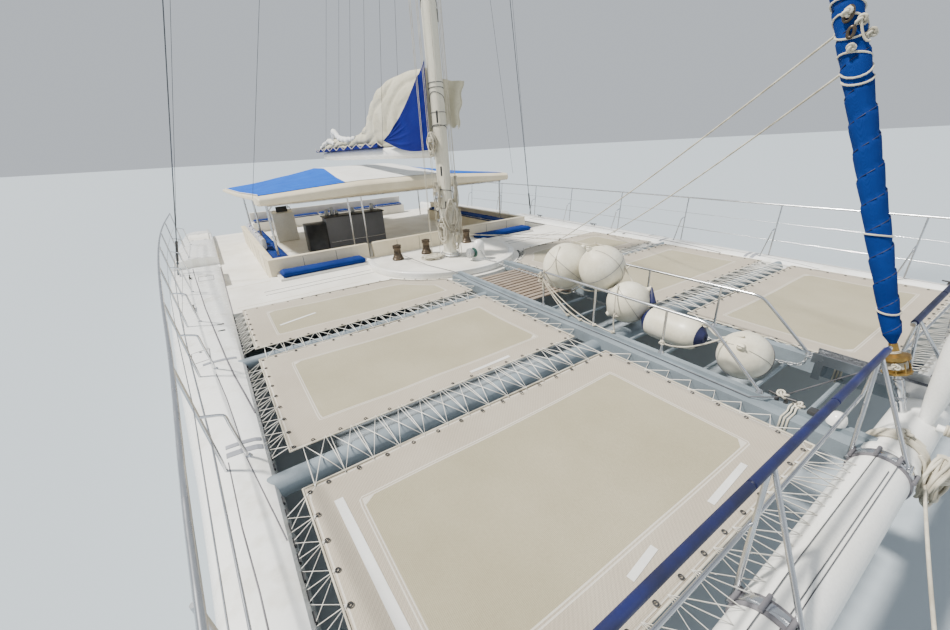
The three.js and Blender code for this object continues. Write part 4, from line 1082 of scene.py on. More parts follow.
beam_rail = join("beam_rail_tubes_port", make_beam_rail())
finish(beam_rail, stainless, hides=["beam_rail_port"])
finish(mirror_copy(beam_rail, "beam_rail_tubes_starboard"), stainless,
       hides=["beam_rail_starboard"])
rail_pad = join("beam_rail_pad_port", [
    rod([(PAD_X, y0, PAD_Z), (PAD_X, (y0 + y1) / 2, PAD_Z + 0.002), (PAD_X, y1, PAD_Z)], 0.031, sides=16)
    for y0, y1 in ((0.45, 1.68), (1.70, 2.95), (2.97, 4.30))])
finish(rail_pad, navy_vinyl_and_lap_shade)
finish(mirror_copy(rail_pad, "beam_rail_pad_starboard"), navy_vinyl_and_lap_shade)
print(count(beam_rail))

# %% [markdown]
# The walkway has its own handrails, one on each side, that sweep down to the beam in front. They are rebuilt
# the same way. The shrouds and the forestay's fittings are wire and forged steel: black plastic covers the
# wire near the deck, and a turnbuckle takes it to its plate on the hull.

# %% Walkway handrails
HAND_Y, HAND_TOP, HAND_FOOT = 0.66, 2.25, 1.652


def make_handrail():
    parts = [rod([(5.42, HAND_Y, HAND_TOP), (8.0, HAND_Y, HAND_TOP), (8.2, HAND_Y, HAND_TOP - 0.005),
                  (8.32, HAND_Y, HAND_TOP - 0.09), (8.85, HAND_Y,
                                                    HAND_FOOT + 0.01)], 0.019, sides=12, bent=True)]
    for x in (5.48, 6.58, 7.70):
        parts.append(rod([(x, HAND_Y, HAND_FOOT), (x, HAND_Y, HAND_TOP)], 0.016, sides=12))
        parts.append(drum((x, HAND_Y, HAND_FOOT), (x, HAND_Y, HAND_FOOT + 0.03), 0.038, sides=18,
                          end_radius=0.022))
    parts.append(drum((8.85, HAND_Y, HAND_FOOT), (8.85, HAND_Y, HAND_FOOT + 0.03), 0.038, sides=18,
                      end_radius=0.024))
    return parts


handrail = join("walkway_handrail_port", make_handrail())
finish(handrail, stainless, hides=["walkway_rail_port"])
finish(mirror_copy(handrail, "walkway_handrail_starboard"), stainless,
       hides=["walkway_rail_starboard"])

# %% Shrouds
SHROUD_FOOT = Vector((-2.65, 6.26, 1.20))
SHROUD_HEAD = Vector((0.58, 0.17, 26.0))


def make_shroud():
    def along(distance):
        return SHROUD_FOOT + (SHROUD_HEAD - SHROUD_FOOT).normalized() * distance
    end = (SHROUD_HEAD - SHROUD_FOOT).length
    wire = rod([along(0.30), along(9.0), along(18.0), along(end)], 0.012)
    screw = [rod([along(0.18), along(0.42)], 0.013, sides=12),
             rod([along(0.62), along(0.9)], 0.015, sides=12)]
    cheeks = [rod([along(0.32) + Vector((dx, 0, 0)), along(0.66) + Vector((dx, 0, 0))], 0.009)
              for dx in (-0.024, 0.024)]
    ends = [drum(along(a), along(a + 0.05), 0.032, sides=18, soft=0.005) for a in (0.28, 0.64)]
    return join("shroud_wire_port", [wire] + screw + cheeks + ends), rod([along(0.72), along(1.26)], 0.030,
                                                                         sides=16)


shroud, shroud_cover = make_shroud()
shroud_cover.name = "shroud_cover_port"
shroud_steel = weathered("shroud_wire", (0.10, 0.11, 0.12), (0.06, 0.065, 0.07), 0.35, 1.0, 120, 0.0004,
                         metal=0.6)
finish(shroud, shroud_steel, hides=["shroud_port"])
finish(shroud_cover, black_plastic_and_slot_shade)
finish(mirror_copy(shroud, "shroud_wire_starboard"), shroud_steel, hides=["shroud_starboard"])
finish(mirror_copy(shroud_cover, "shroud_cover_starboard"), black_plastic_and_slot_shade)
print(count(handrail), "and", count(shroud))

# %% [markdown]
# A moulded hull is never one plain skin. Thin grey lines show where the deck moulding is bonded on, a dark
# rubbing line runs along its edge, and chocks, a cleat and a small hatch sit in it. To lay these on the
# crowned deck, a ray is cast down onto the hull's own mesh, which gives the height at any place.

# %% A way to find the deck's height
from mathutils.bvhtree import BVHTree


def surface_of(piece):
    """A tree of the piece's triangles, cut as the render cuts them, to cast rays at."""
    piece.data.calc_loop_triangles()
    corners = [vertex.co.copy() for vertex in piece.data.vertices]
    return BVHTree.FromPolygons(corners, [tuple(part.vertices) for part in piece.data.loop_triangles])


hull_surface = surface_of(bpy.data.objects["hull_skin_port"])


def on_hull(x, y):
    """The point and slope of the port hull's deck under a place."""
    point, normal, _, _ = hull_surface.ray_cast(Vector((x, y, 3.0)), Vector((0, 0, -1)))
    return point, normal


def draped(points, step=0.12):
    """Points laid on the port hull along a line of places, close together."""
    found = []
    for (x0, y0), (x1, y1) in zip(points, points[1:]):
        parts = max(1, round(math.hypot(x1 - x0, y1 - y0) / step))
        for i in range(parts):
            x, y = x0 + (x1 - x0) * i / parts, y0 + (y1 - y0) * i / parts
            point, _ = on_hull(x, y)
            if point:
                found.append(point)
    point, _ = on_hull(*points[-1])
    return found + ([point] if point else [])


# %% Bond lines and rubbing line
# radius, places along the line
BOND_LINES = [
    (0.011, [(-2.80, 5.84), (-2.12, 5.81), (1.11, 5.63), (2.59, 5.52), (3.79, 5.43), (4.45, 5.37),
             (5.55, 5.24)]),
    (0.006, [(4.28, 5.57), (5.07, 5.49), (5.62, 5.45), (6.36, 5.40), (7.54, 5.24)]),
    (0.006, [(6.35, 5.55), (7.25, 5.51), (7.89, 5.46), (8.29, 5.44), (9.60, 5.40)]),
    (0.005, [(-2.75, 6.08), (1.20, 6.02), (3.10, 5.92)]),
]


def make_bond_lines():
    return join("hull_bond_lines_port", [rod(draped(line), radius) for radius, line in BOND_LINES])


# Grey for bond lines and seams; the same finish also paints the shade in the deck's drain grooves.
bond_grey_and_groove_shade = weathered("bond_line_grey_and_groove_shade", (0.16, 0.155, 0.17), (0.09, 0.085, 0.095), 0.6, 3.0, 80, 0.0005)
bond_lines = make_bond_lines()
finish(bond_lines, bond_grey_and_groove_shade)
finish(mirror_copy(bond_lines, "hull_bond_lines_starboard"), bond_grey_and_groove_shade)


def make_straps():
    """Grey bands across the hull's deck, at the rail's feet."""
    bands = []
    for x, y0, y1, width in ((3.86, 5.72, 5.30, 0.035), (6.24, 5.56, 5.215, 0.04), (6.10, 5.56, 5.215, 0.03)):
        centre = draped([(x, y0), (x, y1)], 0.04)
        rows = []
        for point in centre:
            _, normal = on_hull(point.x, point.y)
            rows.append([point + Vector((-width, 0, 0)) + normal * 0.003, point + Vector((width, 0, 0)) +
                         normal * 0.003])
        mesh = bpy.data.meshes.new("band")
        mesh.from_pydata([corner for row in rows for corner in row], [],
                         [(2 * i, 2 * i + 1, 2 * i + 3, 2 * i + 2) for i in range(len(rows) - 1)])
        band = bpy.data.objects.new("band", mesh)
        bpy.context.scene.collection.objects.link(band)
        apply_modifier(band, "SOLIDIFY", thickness=0.006, offset=0)
        bands.append(band)
    straps = join("hull_straps_port", bands)
    return merged(straps, 0.0001)


strap_grey = weathered("strap_grey", (0.30, 0.31, 0.34), (0.20, 0.21, 0.24), 0.6, 4.0, 120, 0.0006)
straps = make_straps()
finish(straps, strap_grey)
finish(mirror_copy(straps, "hull_straps_starboard"), strap_grey)
print(count(bond_lines))

# %% Chocks, cleat and hatch
def make_hull_fittings():
    dark, pale = [], []
    for x in (2.24, 2.58):
        point, _ = on_hull(x, 5.43)
        dark.append(lump((x - 0.032, 5.37, point.z - 0.02), (x + 0.032, 5.49, point.z + 0.006), soft=0.012))
    for x, y in ((1.03, 5.82), (-1.75, 5.90), (9.35, 5.50)):
        point, _ = on_hull(x, y)
        z = point.z
        dark.append(rod([(x - 0.14, y, z + 0.062), (x - 0.06, y, z + 0.055), (x + 0.06, y, z + 0.055),
                         (x + 0.14, y, z + 0.062)], 0.014, sides=12, bent=True))
        for dx in (-0.05, 0.05):
            dark.append(drum((x + dx, y, z - 0.01), (x + dx * 0.9, y, z + 0.055), 0.022, sides=16,
                             end_radius=0.013))
    for x0, x1, y0, y1 in ((-1.75, -1.25, 5.40, 5.72), (3.30, 3.72, 5.62, 5.86)):
        corners = [(x0, y0), (x1, y0), (x1, y1), (x0, y1), (x0, y0)]
        dark.append(rod([point + Vector((0, 0, 0.001)) for point in draped(corners, 0.06)], 0.005))
        pale.append(drum((x0 + 0.05, (y0 + y1) / 2, on_hull(x0 + 0.05, (y0 + y1) / 2)[0].z - 0.002),
                         (x0 + 0.05, (y0 + y1) / 2, on_hull(x0 + 0.05, (y0 + y1) / 2)[0].z + 0.006), 0.022,
                         sides=16, soft=0.002))
    return join("hull_chocks_and_cleats_port", dark), join("hull_hatch_latches_port", pale)


hull_dark, hull_pale = make_hull_fittings()
finish(hull_dark, black_plastic_and_slot_shade)
finish(hull_pale, stainless)
finish(mirror_copy(hull_dark, "hull_chocks_and_cleats_starboard"), black_plastic_and_slot_shade)
finish(mirror_copy(hull_pale, "hull_hatch_latches_starboard"), stainless)

# %% [markdown]
# Each hull ends in three steps down to the water. Every tread carries a thin non-slip plate, set in from its
# edges and laid on with a soft rim.

# %% Plates on the stern steps
# aft end, front end, outer side, height of the tread
TREADS = [(-10.83, -10.52, 6.05, 1.270), (-11.18, -10.87, 6.05, 0.900), (-11.52, -11.22, 5.97, 0.520)]
plates = [lump((aft, 5.40, top - 0.004), (front, outer, top + 0.005), soft=0.003)
          for aft, front, outer, top in TREADS]
plates = join("stern_step_plates_port", plates)
finish(plates, panel_cream)
finish(mirror_copy(plates, "stern_step_plates_starboard"), panel_cream)
print(count(plates))

# %% [markdown]
# The deck between the hulls has its own lines: a dark seal where it meets each hull, two shallow drain
# channels that cross in front of the bench, and moulding joints. They are thin rods sunk to half their
# height, so that they read as grooves without cutting the deck's mesh. The dark rods of the channels are
# painted shade for the inside of each groove.

# %% Deck lines
FOREDECK_TOP = 1.480


def make_deck_lines():
    dark = [rod([(-2.90, 5.200, 1.474), (1.60, 5.200, 1.474)], 0.013)]
    # The drain channels: dark rods, painted shade in the grooves.
    for x in (0.51, 0.78):
        dark.append(rod([(x, 2.0, FOREDECK_TOP), (x + 0.01, 3.2, FOREDECK_TOP),
                         (x + 0.03, 4.51, FOREDECK_TOP)],
                        0.0075))
    pale = [rod([(x, y0, FOREDECK_TOP), (x, y1, FOREDECK_TOP)], 0.005)
            for x, y0, y1 in ((-0.35, 4.25, 5.18), (1.30, 2.5, 5.10))]
    return join("deck_seal_and_drain_shade_port", dark), join("deck_joint_lines_port", pale)


deck_seal_and_groove_shade, deck_pale = make_deck_lines()
finish(deck_seal_and_groove_shade, bond_grey_and_groove_shade)
finish(deck_pale, panel_cream)
finish(mirror_copy(deck_seal_and_groove_shade, "deck_seal_and_drain_shade_starboard"), bond_grey_and_groove_shade)
finish(mirror_copy(deck_pale, "deck_joint_lines_starboard"), panel_cream)
print(count(hull_dark), "and", count(deck_seal_and_groove_shade))

# %% [markdown]
# Four inflated ball fenders and one sausage are stowed over the walkway's rungs. A real one is a vinyl skin
# that is moulded in two halves, with a raised rope eye at each pole and a scuffed, slightly yellow surface. A
# sphere is added, its poles are drawn out a little and eyes are set on them, and a band is left where the
# halves meet.

# %% Ball fenders
# x, height, radius, direction of the eye
BALLS = [
    (5.36, 2.19, 0.42, (0.35, 0.55, 0.75)),
    (6.14, 2.33, 0.37, (-0.30, -0.50, 0.81)),
    (6.69, 1.89, 0.33, (0.55, 0.60, 0.58)),
    (8.40, 1.68, 0.305, (0.10, -0.75, 0.65)),
]


def make_ball(x, z, radius, eye):
    aim = Vector(eye).normalized()
    bpy.ops.object.select_all(action="DESELECT")
    bpy.ops.mesh.primitive_uv_sphere_add(segments=48, ring_count=28, radius=radius - 0.004)
    ball = bpy.context.object
    for vertex in ball.data.vertices:
        pole = abs(vertex.co.z) / radius
        if pole > 0.93:
            vertex.co.z *= 1 + (pole - 0.93) * 1.1
        if abs(vertex.co.z) < 0.02:
            vertex.co *= 1.006
        vertex.co *= 1 + 0.006 * noise.noise(vertex.co * 3.1 + Vector((x, 0, 0)))
    top, bottom = (max(v.co.z for v in ball.data.vertices), min(v.co.z for v in ball.data.vertices))
    parts = [ball]
    for end in (top, bottom):
        out = 0.045 if end > 0 else -0.03
        parts.append(drum((0, 0, end - 0.02 * (1 if end > 0 else -1)), (0, 0, end + out), 0.055, sides=24,
                          end_radius=0.035, soft=0.008))
    bpy.ops.object.select_all(action="DESELECT")
    bpy.ops.mesh.primitive_torus_add(major_segments=20, minor_segments=8, major_radius=0.032,
                                     minor_radius=0.012,
                                     location=(0, 0, top + 0.05), rotation=(math.pi / 2, 0, 0))
    parts.append(settle(bpy.context.object))
    fender = join("ball", parts)
    limit = radius + 0.03
    for vertex in fender.data.vertices:
        if vertex.co.length > limit + 0.05:
            vertex.co *= (limit + 0.05) / vertex.co.length
    turn = Vector((0, 0, 1)).rotation_difference(aim).to_matrix().to_4x4()
    fender.data.transform(Matrix.Translation((x, 0, z)) @ turn)
    smooth(fender, 40)
    return fender


balls = join("ball_fenders", [make_ball(*row) for row in BALLS])
finish(balls, fender_skin, hides=["fender_string"])


def make_ball_seams():
    """The moulding line round each ball, square to its eyes, and a fainter one across it."""
    rings = []
    for x, z, radius, eye in BALLS:
        turn = Vector((0, 0, 1)).rotation_difference(Vector(eye).normalized()).to_matrix().to_4x4()
        for tilt, size, thick in ((0.0, radius + 0.0005, 0.0035), (math.pi / 2, radius + 0.001, 0.0022)):
            points = [Vector((size * math.cos(a), size * math.sin(a), 0))
                      for a in [math.tau * step / 60 for step in range(61)]]
            ring = rod(points, thick)
            ring.data.transform(Matrix.Translation((x, 0, z)) @ turn @ Matrix.Rotation(tilt, 4, "X"))
            rings.append(ring)
    return join("ball_seams", rings)


ball_seams = make_ball_seams()
finish(ball_seams, bond_grey_and_groove_shade)
print(count(balls))

# %% [markdown]
# The sausage fender is a long cylinder with rounded shoulders and a navy cap at each end. Its outline is spun
# round its own axis. A rope runs from eye to eye and the two lashings hold the big balls to the handrails.

# %% Sausage fender and ropes
def make_sausage():
    rows = [(0.0, 0.02), (0.0, 0.07), (0.03, 0.105), (0.07, 0.16), (0.13, 0.207), (0.22, 0.228), (0.46, 0.23),
            (0.70, 0.228), (0.79, 0.207), (0.85, 0.16), (0.89, 0.105), (0.92, 0.07), (0.92, 0.02)]
    body = spun([(r, a) for a, r in rows], (0, 0), "sausage_fender", 40)
    turn = Vector((0, 0, 1)).rotation_difference(Vector((1, 0, 0))).to_matrix().to_4x4()
    body.data.transform(Matrix.Translation((6.99, 0, 1.722)) @ turn)
    return body


sausage = make_sausage()
sausage.data.materials.append(fender_skin)
sausage.data.materials.append(navy_vinyl_and_lap_shade)
for face in sausage.data.polygons:
    along = face.center.x - 6.99
    face.material_index = 1 if along < 0.10 or along > 0.82 else 0
finish(sausage, None)

FENDER_LINE = [(5.36, 0.10, 2.64), (5.62, 0.16, 2.60), (5.86, 0.02, 2.66), (6.14, -0.05, 2.735),
               (6.42, 0.08, 2.50),
               (6.60, 0.16, 2.20), (6.86, 0.05, 2.02), (7.00, 0.0, 1.90), (7.20, 0.06, 1.965),
               (7.55, -0.02, 1.965),
               (7.86, 0.06, 1.90), (8.05, 0.02, 1.78), (8.22, -0.10, 1.90), (8.40, -0.12, 1.975)]
fender_ropes = [rod(FENDER_LINE, 0.011, sides=8, bent=True)]
for x, high, low, lean in ((5.50, 2.25, 1.77, 0.10), (6.20, 2.25, 1.96, -0.12)):
    fender_ropes.append(rod([(x, -0.66, high), (x + lean, -0.46, low + 0.12), (x + lean, -0.2, low - 0.01),
                             (x, 0.05, low - 0.02), (x, 0.3, low + 0.02), (x, 0.5, low + 0.2),
                             (x, 0.66, high)],
                            0.011, sides=8, bent=True))
for line in ([(5.36, -0.18, 2.59), (5.50, -0.44, 2.30), (5.50, -0.64, 2.26)],
             [(8.22, -0.20, 1.92), (8.05, -0.45, 1.80), (7.78, -0.64, 1.76), (7.70, -0.67, 1.80)]):
    fender_ropes.append(rod(line, 0.010, sides=8, bent=True))
for place, size in (((6.80, -0.42, 1.82), 0.035), ((5.50, -0.66, 2.26), 0.032), ((7.70, -0.67, 1.80), 0.030),
                    ((6.00, 0.0, 2.70), 0.034), ((7.86, 0.02, 1.905), 0.034)):
    fender_ropes.append(knot_at(place, size, 0.010, (place[0], 0.4, 0.2)))
fender_ropes = join("fender_ropes", fender_ropes)
finish(fender_ropes, white_rope)
loose_rope("fender_tail", [(6.60, -0.16, 2.20), (6.71, -0.36, 2.04), (6.76, -0.42, 1.86), (6.77, -0.43, 1.70),
                           (6.80, -0.43, 1.56)], 0.010, white_rope)
fender_cone = drum((7.02, 0.13, 1.93), (6.93, 0.20, 2.15), 0.055, "fender_end_cone", 24, 0.012, 0.006)
finish(fender_cone, navy_vinyl_and_lap_shade)
print(count(sausage), "and", count(fender_ropes))

# %% [markdown]
# The mast is an oval aluminium extrusion, cream from years of sun. Its copy is shaded smooth. On it go the
# things that make a mast read as one: a luff track on its aft face, exit slots for the halyards, drawn as
# dark blocks of painted shade, winches and cleats near the foot, wire halyards in front of it, and the coils
# of rope that hang there.

# %% Mast
MAST_X, MAST_RAKE, DECK_TOP = 1.19, 0.025, 1.63


def mast_x(z):
    return MAST_X - MAST_RAKE * (z - DECK_TOP)


mast = copy_of("mast", "mast_tube", 40)
mast_surface = surface_of(mast)
finish(mast, mast_paint, hides=["mast"])


def mast_skin(z, angle, clear):
    """A point on the mast's skin at a height and an angle from forward, moved out by a clearance."""
    centre = Vector((mast_x(z), 0, z))
    out = Vector((math.cos(angle), math.sin(angle), 0))
    point, *_ = mast_surface.ray_cast(centre + out, -out)
    return point + out * clear


def make_mast_fittings():
    steel, dark = [], []
    track = [(mast_x(z) - 0.228, 0, z) for z in (2.4, 12.0, 26.0)]
    steel.append(rod(track, 0.012))
    # The exit slots are dark blocks on the skin: painted shade for the inside of each opening.
    for z, degrees, tall in ((4.94, -38, 0.13), (3.75, -44, 0.11), (2.95, -30, 0.09), (2.35, 25, 0.09),
                             (6.9, 30, 0.12), (8.6, -35, 0.12)):
        point = mast_skin(z, math.radians(degrees), 0.0)
        slot = lump((-0.012, -0.024, -tall), (0.008, 0.024, tall), soft=0.006)
        slot.data.transform(Matrix.Translation(point) @ Matrix.Rotation(math.radians(degrees), 4, "Z"))
        dark.append(slot)
    for z, y in ((2.55, -0.13), (3.15, -0.13), (2.75, 0.13)):
        side = math.copysign(1, y)
        steel.append(drum((mast_x(z) + 0.04, y, z), (mast_x(z) + 0.04, y + 0.13 * side, z), 0.055, sides=24,
                          end_radius=0.045, soft=0.008))
        steel.append(drum((mast_x(z) + 0.04, y + 0.12 * side, z), (mast_x(z) + 0.04, y + 0.16 * side, z),
                          0.062, sides=24, soft=0.008))
    for z, y in ((2.25, -0.145), (2.05, 0.145)):
        side = math.copysign(1, y)
        dark.append(rod([(mast_x(z), y + 0.03 * side, z - 0.11), (mast_x(z), y + 0.045 * side, z),
                         (mast_x(z), y + 0.03 * side, z + 0.11)], 0.013, sides=8, bent=True))
    return join("mast_winches_and_track", steel), join("mast_slot_shade_and_cleats", dark)


mast_steel, mast_dark = make_mast_fittings()
finish(mast_steel, stainless)
finish(mast_dark, black_plastic_and_slot_shade)

# %% Halyards and wires
# foot point, head height, offset of the head along X and across
HALYARDS = [
    ((1.48, -0.16, 1.66), 26.2, 0.20, -0.05), ((1.50, 0.10, 1.66), 26.2, 0.20, 0.05),
    ((1.46, 0.19, 1.66), 18.4, 0.19, 0.13), ((1.10, -0.26, 1.66), 18.4, 0.0, -0.17),
    ((1.16, 0.27, 1.66), 26.0, 0.0, 0.12), ((1.04, -0.27, 2.4), 26.3, 0.08, -0.16),
    ((0.92, -0.42, 1.66), 22.0, -0.02, -0.19), ((1.04, -0.46, 1.66), 18.2, -0.02, -0.19),
    ((1.02, 0.44, 1.66), 18.2, 0.02, 0.18),
]
# foot, head: the wires that the photograph shows beside the mast
SIDE_WIRES = [
    ((-1.2, -4.10, 3.36), (mast_x(18.3), -0.15, 18.3)), ((-1.2, 4.10, 3.36), (mast_x(18.3), 0.15, 18.3)),
    ((-2.65, -6.22, 1.45), (mast_x(18.2) - 0.45, -1.65, 18.26)),
    ((-2.65, 6.22, 1.45), (mast_x(18.2) - 0.45, 1.65, 18.26)),
]
# foot on the boom, head height: ropes from the mast that hold the sail's heap
LAZY_JACKS = [(-1.9, 15.0), (-4.9, 16.5), (-8.2, 17.5)]
lines = [rod([foot, (mast_x(head) + dx, y, head)], 0.006) for foot, head, dx, y in HALYARDS]
halyards = join("halyards", lines)
finish(halyards, white_rope)
wires = join("side_wires", [rod([foot, head], 0.005) for foot, head in SIDE_WIRES])
finish(wires, shroud_steel)
jacks = []
for foot, head in LAZY_JACKS:
    for side in (-1, 1):
        jacks.append(rod([(foot, side * 0.272, 4.42), (foot + 0.10, side * 0.272, 4.75),
                          (0.80, side * 0.05, head)], 0.005))
jacks = join("lazy_jacks", jacks)
finish(jacks, dark_rope, "boom")

# %% [markdown]
# A thin dark line is wound up the mast in uneven turns, some level and some slanting. Its points are found by
# casting rays at the mast's own mesh from all round it, so it lies on the skin.

# %% Dark line round the mast
# height where each turn starts, how far it climbs in its turn
WRAPS = [(4.62, 0.16), (4.78, -0.03), (5.02, 0.02), (5.12, 0.34), (5.50, 0.05), (5.62, 0.03), (6.9, 0.4),
         (7.6, 0.02), (3.2, 0.12), (2.85, 0.02)]


def make_wraps():
    parts = []
    for low, climb in WRAPS:
        points = []
        for step in range(25):
            angle = math.tau * step / 24 + 2.2
            level = low + climb * (0.5 - 0.5 * math.cos(math.tau * step / 24))
            points.append(mast_skin(level, angle, 0.006))
        parts.append(rod(points, 0.008))
    return join("mast_wraps", parts)


wraps = make_wraps()
finish(wraps, dark_rope)
print(count(wraps))

# %% [markdown]
# Tails of rope are coiled and hung on the mast, as a crew leaves them. A hank is one line of points that goes
# round and round a long oval, a little different each turn, with a few turns across its neck to hold it. Each
# is a rope of a real length.

# %% Hanks on the mast
def hang_rope(name, top, height, width, turns, face, radius, seed, paint):
    """A coiled tail hung from its top point, facing a way, with a neck of crosswise turns."""
    rng = random.Random(seed)
    forward = Vector((face[0], face[1], 0)).normalized()
    across = Vector((-forward.y, forward.x, 0))
    steps = 18
    points = []
    for turn in range(turns):
        grow = 1 + rng.uniform(-0.14, 0.14)
        shift = rng.uniform(-0.03, 0.03)
        lift = (turn % 4) * radius * 2.05
        spread = width / 2 * (0.75 + 0.5 * turn / turns)
        for step in range(steps):
            a = math.tau * step / steps + math.pi / 2
            drop = (math.sin(a) - 1) / 2
            pinch = 0.30 + 0.70 * min(1.0, -drop * 2.4)
            points.append(Vector(top) + across * (math.cos(a) * spread * pinch * grow + shift) +
                          forward * (lift + 0.012 * math.sin(a * 3 + turn)) +
                          Vector((0, 0, drop * height * grow)))
    piece = loose_rope(name, points, radius, paint, "platform", 2)
    neck = []
    for step in range(4 * 12 + 1):
        a = math.tau * step / 12
        neck.append(Vector(top) + across * math.cos(a) * (width * 0.30 + radius) +
                    forward * (math.sin(a) * (radius * 5.5) + radius * 3) +
                    Vector((0, 0, -height * 0.24 - step / 48 * 8.5 * radius)))
    return piece, rod(neck, radius)


# top point, height, width, turns, facing, rope radius, seed
HANKS = [
    ((1.44, -0.04, 3.10), 0.70, 0.24, 9, (1, -0.25), 0.011, 3),
    ((1.30, -0.20, 2.66), 0.60, 0.24, 8, (0.4, -1), 0.011, 5),
    ((1.33, 0.20, 2.80), 0.74, 0.26, 9, (0.4, 1), 0.012, 8),
    ((1.46, 0.04, 2.42), 0.56, 0.26, 7, (1, 0.3), 0.010, 13),
    ((1.16, -0.21, 3.50), 0.62, 0.20, 7, (0.1, -1), 0.010, 21),
    ((1.36, 0.16, 3.62), 0.66, 0.20, 7, (0.8, 1), 0.010, 34),
    ((1.06, 0.21, 3.05), 0.60, 0.22, 7, (0, 1), 0.011, 55),
    ((1.12, -0.21, 4.62), 0.46, 0.22, 8, (0.2, -1), 0.013, 89),
]
necks = []
for number, (top, height, width, turns, face, radius, seed) in enumerate(HANKS):
    piece, neck = hang_rope(f"mast_hank_{number}", top, height, width, turns, face, radius, seed, white_rope)
    necks.append(neck)
mast_necks = join("mast_hank_necks", necks)
finish(mast_necks, white_rope)

# %% [markdown]
# The rest of the halyard tails lie on the platform beside the mast in a heap. The heap is one rope in loose
# flat loops, each laid over the last and a little off to one side, as it falls when it is let go.

# %% Rope heap at the mast's foot
HEAP_STEPS = 16


def heap(centre, size, turns, radius, seed):
    rng = random.Random(seed)
    points = []
    lean = [rng.uniform(-0.3, 0.3), rng.uniform(-0.3, 0.3)]
    for turn in range(turns):
        aim = [rng.uniform(-0.32, 0.32) * size, rng.uniform(-0.32, 0.32) * size]
        wide, long = size * rng.uniform(0.55, 0.95), size * rng.uniform(0.40, 0.75)
        swing = rng.uniform(0, math.pi)
        base = centre[2] + radius + min(turn, 5) * radius * 0.9
        for step in range(HEAP_STEPS):
            share = step / HEAP_STEPS
            a = math.tau * share
            middle = [old + (new - old) * share for old, new in zip(lean, aim)]
            u, v = wide / 2 * math.cos(a), long / 2 * math.sin(a)
            x = centre[0] + middle[0] + u * math.cos(swing) - v * math.sin(swing)
            y = centre[1] + middle[1] + u * math.sin(swing) + v * math.cos(swing)
            points.append((x, y, base + 0.4 * radius * (1 + math.sin(a * 2 + turn))))
        lean = aim
    return points


mast_heap = loose_rope("mast_foot_rope_heap", heap((1.13, -0.52, DECK_TOP), 0.46, 16, 0.011, 7), 0.011,
                       white_rope, "platform", 2)
print(count(mast_heap))

# %% Collar at the mast's foot
def make_collar():
    parts = []
    for level, out, radius in ((DECK_TOP + 0.035, 0.020, 0.022), (DECK_TOP + 0.085, 0.010, 0.012)):
        ring = [mast_skin(level, math.tau * step / 36, out) for step in range(37)]
        parts.append(rod(ring, radius, sides=12))
    for step in range(10):
        a = math.tau * step / 10
        point = mast_skin(DECK_TOP + 0.02, a, 0.06)
        parts.append(drum((point.x, point.y, DECK_TOP), (point.x, point.y, DECK_TOP + 0.016), 0.014,
                          sides=12))
    return join("mast_collar", parts)


collar = make_collar()
finish(collar, galvanised)

# %% [markdown]
# The mast stands on a raised round platform with three winches and the windlass. The disc gets a rounded rim
# and a non-skid top inside a smooth border; each winch is spun from its own outline, dark bronze all over,
# with a ribbed drum and a self-tailing crown.

# %% Mast platform
DISC_X, DISC_R = 0.70, 2.0


def make_platform():
    start = math.radians(109)
    outline = [(DISC_X + DISC_R * math.cos(start * (i / 40 * 2 - 1)),
                DISC_R * math.sin(start * (i / 40 * 2 - 1)))
               for i in range(41)]
    mesh = bpy.data.meshes.new("platform_disc")
    mesh.from_pydata([(x, y, 1.4803) for x, y in outline], [], [list(range(len(outline)))])
    disc = bpy.data.objects.new("mast_platform_disc", mesh)
    bpy.context.scene.collection.objects.link(disc)
    edit(disc)
    bpy.ops.mesh.extrude_region_move(TRANSFORM_OT_translate={"value": (0, 0, 0.15)})
    leave_edit()
    merged(disc, 0.0002)
    edit(disc, lambda centre, normal: normal.z > 0.9)
    bpy.ops.mesh.inset(thickness=0.14)
    bpy.ops.mesh.inset(thickness=0.012, depth=-0.004)
    leave_edit()
    apply_modifier(disc, "BEVEL", width=0.022, segments=4, limit_method="ANGLE", angle_limit=0.9)
    smooth(disc, 35)
    disc.data.materials.append(white_gelcoat)
    disc.data.materials.append(deck_paint)
    for face in disc.data.polygons:
        face.material_index = 1 if face.normal.z > 0.9 and face.area > 0.5 else 0
    return disc


platform = make_platform()
finish(platform, None, hides=["mast_platform"])

WINCHES = [(0.59, -1.25), (0.54, -0.38), (0.20, 1.15)]


def make_winches():
    bases, drums = [], []
    for x, y in WINCHES:
        z = DECK_TOP
        bases.append(spun([(0, z), (0.15, z), (0.15, z + 0.04), (0.135, z + 0.055), (0.118, z + 0.10),
                           (0.10, z + 0.12), (0, z + 0.12)], (x, y)))
        drums.append(spun([(0, z + 0.115), (0.104, z + 0.115), (0.104, z + 0.135), (0.088, z + 0.16),
                           (0.083, z + 0.22), (0.088, z + 0.27), (0.112, z + 0.30), (0.112, z + 0.325),
                           (0.095, z + 0.33), (0.095, z + 0.345), (0.112, z + 0.35), (0.112, z + 0.375),
                           (0.06, z + 0.39), (0.03, z + 0.39), (0.028, z + 0.37), (0, z + 0.37)], (x, y)))
        for step in range(12):
            a = math.tau * step / 12
            drums.append(rod([(x + 0.087 * math.cos(a), y + 0.087 * math.sin(a), z + 0.16),
                              (x + 0.087 * math.cos(a), y + 0.087 * math.sin(a), z + 0.27)], 0.004))
    return join("winch_bases", bases), join("winch_drums", drums)


winch_bases, winch_drums = make_winches()
finish(winch_bases, dark_bronze)
finish(winch_drums, dark_bronze)
print(count(platform), "and", count(winch_drums))

# %% Windlass
WINDLASS = (2.06, 0.33)


